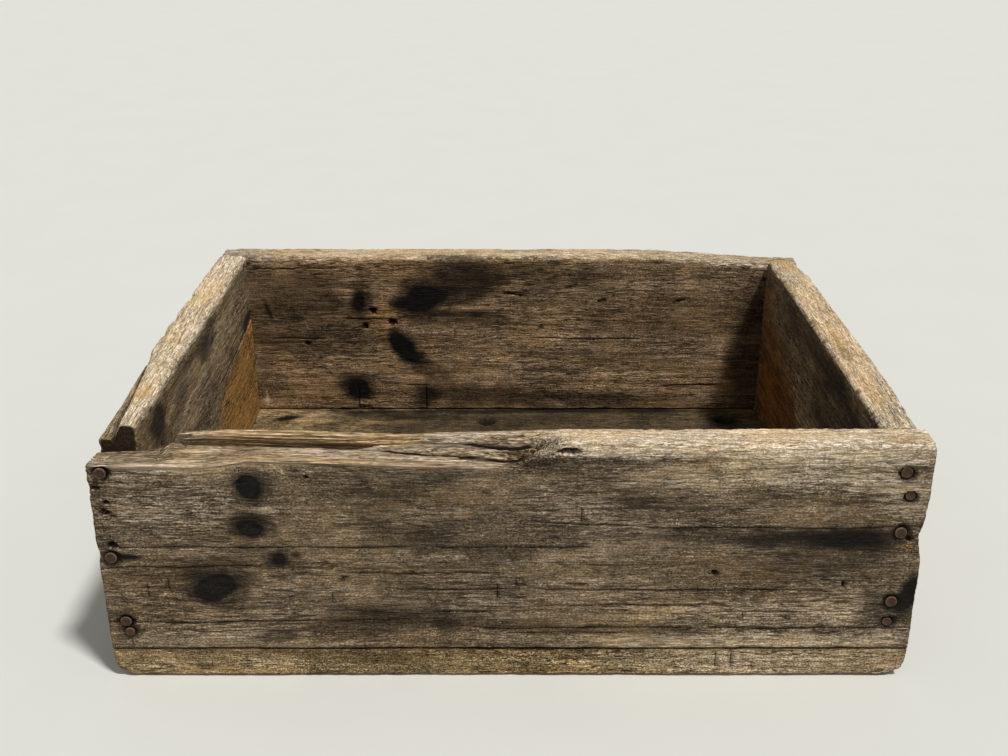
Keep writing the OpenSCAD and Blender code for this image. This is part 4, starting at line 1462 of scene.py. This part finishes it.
def wood_material(name, wood, warm, speckle, settings):
    """Weathered wood of one tone, with its own warm patches."""
    material, tree, surface = new_material(name)
    weathered = add_node(tree, "ShaderNodeGroup", {}, node_tree=weathered_wood_group())
    grain = add_node(tree, "ShaderNodeAttribute", attribute_name="grain")
    tree.links.new(grain.outputs["Vector"], weathered.inputs["Grain"])
    weathered.inputs["Speckle"].default_value = speckle
    for layer, names in (("marks", WOOD_MASKS[:4]), ("tones", WOOD_MASKS[4:])):
        source = add_node(tree, "ShaderNodeAttribute", attribute_name=layer)
        parts = add_node(tree, "ShaderNodeSeparateColor", {"Color": source.outputs["Color"]})
        for part, mask in zip((*parts.outputs, source.outputs["Alpha"]), names):
            tree.links.new(part, weathered.inputs[mask])
    shared = (settings.film, settings.ochre, settings.dark, settings.stain, settings.pale)
    for socket, tone in zip(WOOD_COLOURS, (wood, *shared, warm, settings.gold)):
        weathered.inputs[socket].default_value = rgba(tone)
    inputs = {"Height": weathered.outputs["Height"], "Distance": settings.bump, "Strength": 0.9}
    bump = add_node(tree, "ShaderNodeBump", inputs)
    tree.links.new(weathered.outputs["Color"], surface.inputs["Base Color"])
    tree.links.new(weathered.outputs["Roughness"], surface.inputs["Roughness"])
    tree.links.new(bump.outputs["Normal"], surface.inputs["Normal"])
    surface.inputs["Specular IOR Level"].default_value = 0.15
    return material


def nail_material(name, bare, rust, rim, cover):
    """Old iron, rusted over more or less of its face."""
    material, tree, surface = new_material(name)
    place = add_node(tree, "ShaderNodeTexCoord").outputs["Object"]
    patch = stretched(tree, place, (420, 420, 420), 5.0, 0.65)
    grit = stretched(tree, place, (2600, 2600, 2600), 3.0, 0.6)
    rusted = span(tree, patch, cover - 0.14, cover + 0.14)
    tone = mix(tree, rusted, rgba(rust), rgba(bare))
    tone = mix(tree, span(tree, grit, 0.45, 0.75, 0.0, 0.6), tone, rgba([0.4 * c for c in rust]))
    # The rim is lighter: worn iron, and a painted highlight all round the head.
    bright = add_node(tree, "ShaderNodeAttribute", attribute_name="rim").outputs["Fac"]
    bright = times(tree, bright, span(tree, patch, 0.35, 0.6, 0.25, 0.9))
    tone = mix(tree, bright, tone, rgba(rim))
    tree.links.new(tone, surface.inputs["Base Color"])
    tree.links.new(span(tree, patch, 0.3, 0.7, 0.9, 0.65), surface.inputs["Roughness"])
    tree.links.new(times(tree, rusted, 0.15), surface.inputs["Metallic"])
    surface.inputs["Specular IOR Level"].default_value = 0.25
    bump = add_node(tree, "ShaderNodeBump", {"Height": grit, "Distance": 0.0002, "Strength": 0.6})
    tree.links.new(bump.outputs["Normal"], surface.inputs["Normal"])
    return material


def floor_material(tone):
    """A pale matt floor with the faintest mottling."""
    material, tree, surface = new_material("pale_floor")
    place = add_node(tree, "ShaderNodeTexCoord").outputs["Object"]
    mottle = stretched(tree, place, (9, 9, 9), 4.0, 0.6)
    shaded = mix(tree, span(tree, mottle, 0.3, 0.7, 0.0, 0.06), rgba(tone), rgba([0.8 * c for c in tone]))
    tree.links.new(shaded, surface.inputs["Base Color"])
    surface.inputs["Roughness"].default_value = 0.7
    surface.inputs["Specular IOR Level"].default_value = 0.2
    return material


SKY_TINT = (0.97, 0.98, 1.0)


def pale_world(sky, backdrop):
    """Even light all round, and a pale backdrop where the camera or a reflection looks past the floor."""
    world = bpy.data.worlds.new("pale_surroundings")
    world.use_nodes = True
    tree = world.node_tree
    path = add_node(tree, "ShaderNodeLightPath")
    seen = calc(tree, "MAXIMUM", path.outputs["Is Camera Ray"], path.outputs["Is Glossy Ray"])
    seen = calc(tree, "MAXIMUM", seen, path.outputs["Is Transmission Ray"])
    glow = mix(tree, seen, rgba([sky * c for c in SKY_TINT]), rgba(backdrop))
    tree.links.new(glow, tree.nodes["Background"].inputs["Color"])
    return world


# Operators

def add_board(board, material, relief):
    """Model a board and put it in the scene in place of its node."""
    add_piece(board.name, model_board(board, relief), board.slot, material, board.node)


# How strongly dark dashes speckle the wood, and how much of a nail is left bare by the rust
FRONT_SPECKLE, BACK_SPECKLE, END_SPECKLE, PLANK_SPECKLE = 0.6, 0.75, 0.85, 0.9
RUSTY_COVER, DULL_COVER = 0.54, 0.44
NAIL_SEED = 100


class CRATE_OT_front(bpy.types.Operator):
    """Model the front board, with its riven top edge and splinter"""

    bl_idname = "crate.front"
    bl_label = "Front Board"

    def execute(self, context):
        wood = context.scene.crate_wood
        material = wood_material("grey_front_wood", wood.grey, wood.warm, FRONT_SPECKLE, wood)
        add_board(FRONT, material, wood.relief)
        add_piece("front_splinter", model_splinter(), FRONT.slot, material)
        return {"FINISHED"}


class CRATE_OT_back(bpy.types.Operator):
    """Model the back board"""

    bl_idname = "crate.back"
    bl_label = "Back Board"

    def execute(self, context):
        wood = context.scene.crate_wood
        material = wood_material("brown_back_wood", wood.brown, wood.warm, BACK_SPECKLE, wood)
        add_board(BACK, material, wood.relief)
        return {"FINISHED"}


class CRATE_OT_ends(bpy.types.Operator):
    """Model the two end boards"""

    bl_idname = "crate.ends"
    bl_label = "End Boards"

    def execute(self, context):
        wood = context.scene.crate_wood
        # The right end takes the darker copy of the riven wood as painted shade.
        for board, warm in ((LEFT, wood.warm), (RIGHT, wood.umber_in_shade)):
            material = wood_material(f"{board.name}_wood", wood.ash, warm, END_SPECKLE, wood)
            add_board(board, material, wood.relief)
        return {"FINISHED"}


class CRATE_OT_bottom(bpy.types.Operator):
    """Model the three bottom planks"""

    bl_idname = "crate.bottom"
    bl_label = "Bottom Planks"

    def execute(self, context):
        wood = context.scene.crate_wood
        material = wood_material("tan_plank_wood", wood.tan, wood.warm, PLANK_SPECKLE, wood)
        for board in PLANKS:
            add_board(board, material, wood.relief)
        return {"FINISHED"}


class CRATE_OT_nails(bpy.types.Operator):
    """Model the nails, each group in place of its node"""

    bl_idname = "crate.nails"
    bl_label = "Nails"

    def execute(self, context):
        tones = context.scene.crate_nails
        rusty = nail_material("rusty_iron", tones.iron, tones.rust, tones.rim, RUSTY_COVER)
        dull = nail_material("dull_steel", tones.iron, tones.rust, tones.rim, DULL_COVER)
        for index, node in enumerate(NAIL_NODES):
            small = "small" in node
            mesh = model_nails(node, tones.dent, NAIL_SEED + 10 * index)
            material = dull if small else rusty
            add_piece(mesh.name, mesh, "dull_steel" if small else "rusty_iron", material, node)
        return {"FINISHED"}


# Direction and distance of the light, half the floor's width, and the film and picture widths of the lens
KEY_FROM = Vector((0.33, -0.30, 1.0))
KEY_AWAY = 2.0
FLOOR_HALF = 6.0
FILM_WIDTH = 36.0
PICTURE_WIDTH = 1008.0


class CRATE_OT_stage(bpy.types.Operator):
    """Set the floor, the light and the camera"""

    bl_idname = "crate.stage"
    bl_label = "Stage"

    def execute(self, context):
        scene, stage = context.scene, context.scene.crate_stage
        scene.view_settings.view_transform = "Standard"
        bm = bmesh.new()
        bmesh.ops.create_grid(bm, x_segments=1, y_segments=1, size=FLOOR_HALF)
        mesh = bpy.data.meshes.new("floor")
        bm.to_mesh(mesh)
        bm.free()
        floor = bpy.data.objects.new("floor", mesh)
        scene.collection.objects.link(floor)
        mesh.materials.append(floor_material(stage.floor))
        light = bpy.data.lights.new("key", "SUN")
        light.energy = stage.key
        light.angle = stage.key_spread
        lamp = bpy.data.objects.new("key", light)
        lamp.location = KEY_FROM * KEY_AWAY
        lamp.rotation_euler = KEY_FROM.to_track_quat("Z", "Y").to_euler()
        scene.collection.objects.link(lamp)
        scene.world = pale_world(stage.sky, stage.backdrop)
        lens = bpy.data.cameras.new("camera")
        lens.sensor_width = FILM_WIDTH
        lens.lens = lens.sensor_width * stage.focal_pixels / PICTURE_WIDTH
        camera = bpy.data.objects.new("camera", lens)
        camera.location = (stage.camera_side, -stage.camera_back, stage.camera_up)
        camera.rotation_euler = (math.pi / 2.0 - stage.camera_pitch, 0.0, 0.0)
        scene.collection.objects.link(camera)
        scene.camera = camera
        return {"FINISHED"}


OPERATORS = (CRATE_OT_front, CRATE_OT_back, CRATE_OT_ends, CRATE_OT_bottom, CRATE_OT_nails, CRATE_OT_stage)


class CRATE_PT_sidebar(bpy.types.Panel):
    """The crate's pieces and settings in the sidebar."""

    bl_idname = "CRATE_PT_sidebar"
    bl_label = "Crate"
    bl_space_type = "VIEW_3D"
    bl_region_type = "UI"
    bl_category = "Crate"

    def draw(self, context):
        for operator in OPERATORS:
            self.layout.operator(operator.bl_idname)
        for group in (context.scene.crate_wood, context.scene.crate_nails, context.scene.crate_stage):
            box = self.layout.box()
            for name in group.bl_rna.properties.keys():
                if name not in ("rna_type", "name"):
                    box.prop(group, name)


GROUPS = {"crate_wood": CrateWood, "crate_nails": CrateNails, "crate_stage": CrateStage}
CLASSES = (*GROUPS.values(), *OPERATORS, CRATE_PT_sidebar)


def register():
    """Register the classes and hang the settings on the scene."""
    for cls in CLASSES:
        bpy.utils.register_class(cls)
    for name, group in GROUPS.items():
        setattr(bpy.types.Scene, name, PointerProperty(type=group))


def unregister():
    """Take the settings and classes away again."""
    for name in GROUPS:
        delattr(bpy.types.Scene, name)
    for cls in reversed(CLASSES):
        bpy.utils.unregister_class(cls)


def main():
    """Build every piece and the stage."""
    register()
    bpy.ops.crate.stage()
    bpy.ops.crate.front()
    bpy.ops.crate.back()
    bpy.ops.crate.ends()
    bpy.ops.crate.bottom()
    bpy.ops.crate.nails()


if __name__ == "__main__":
    main()
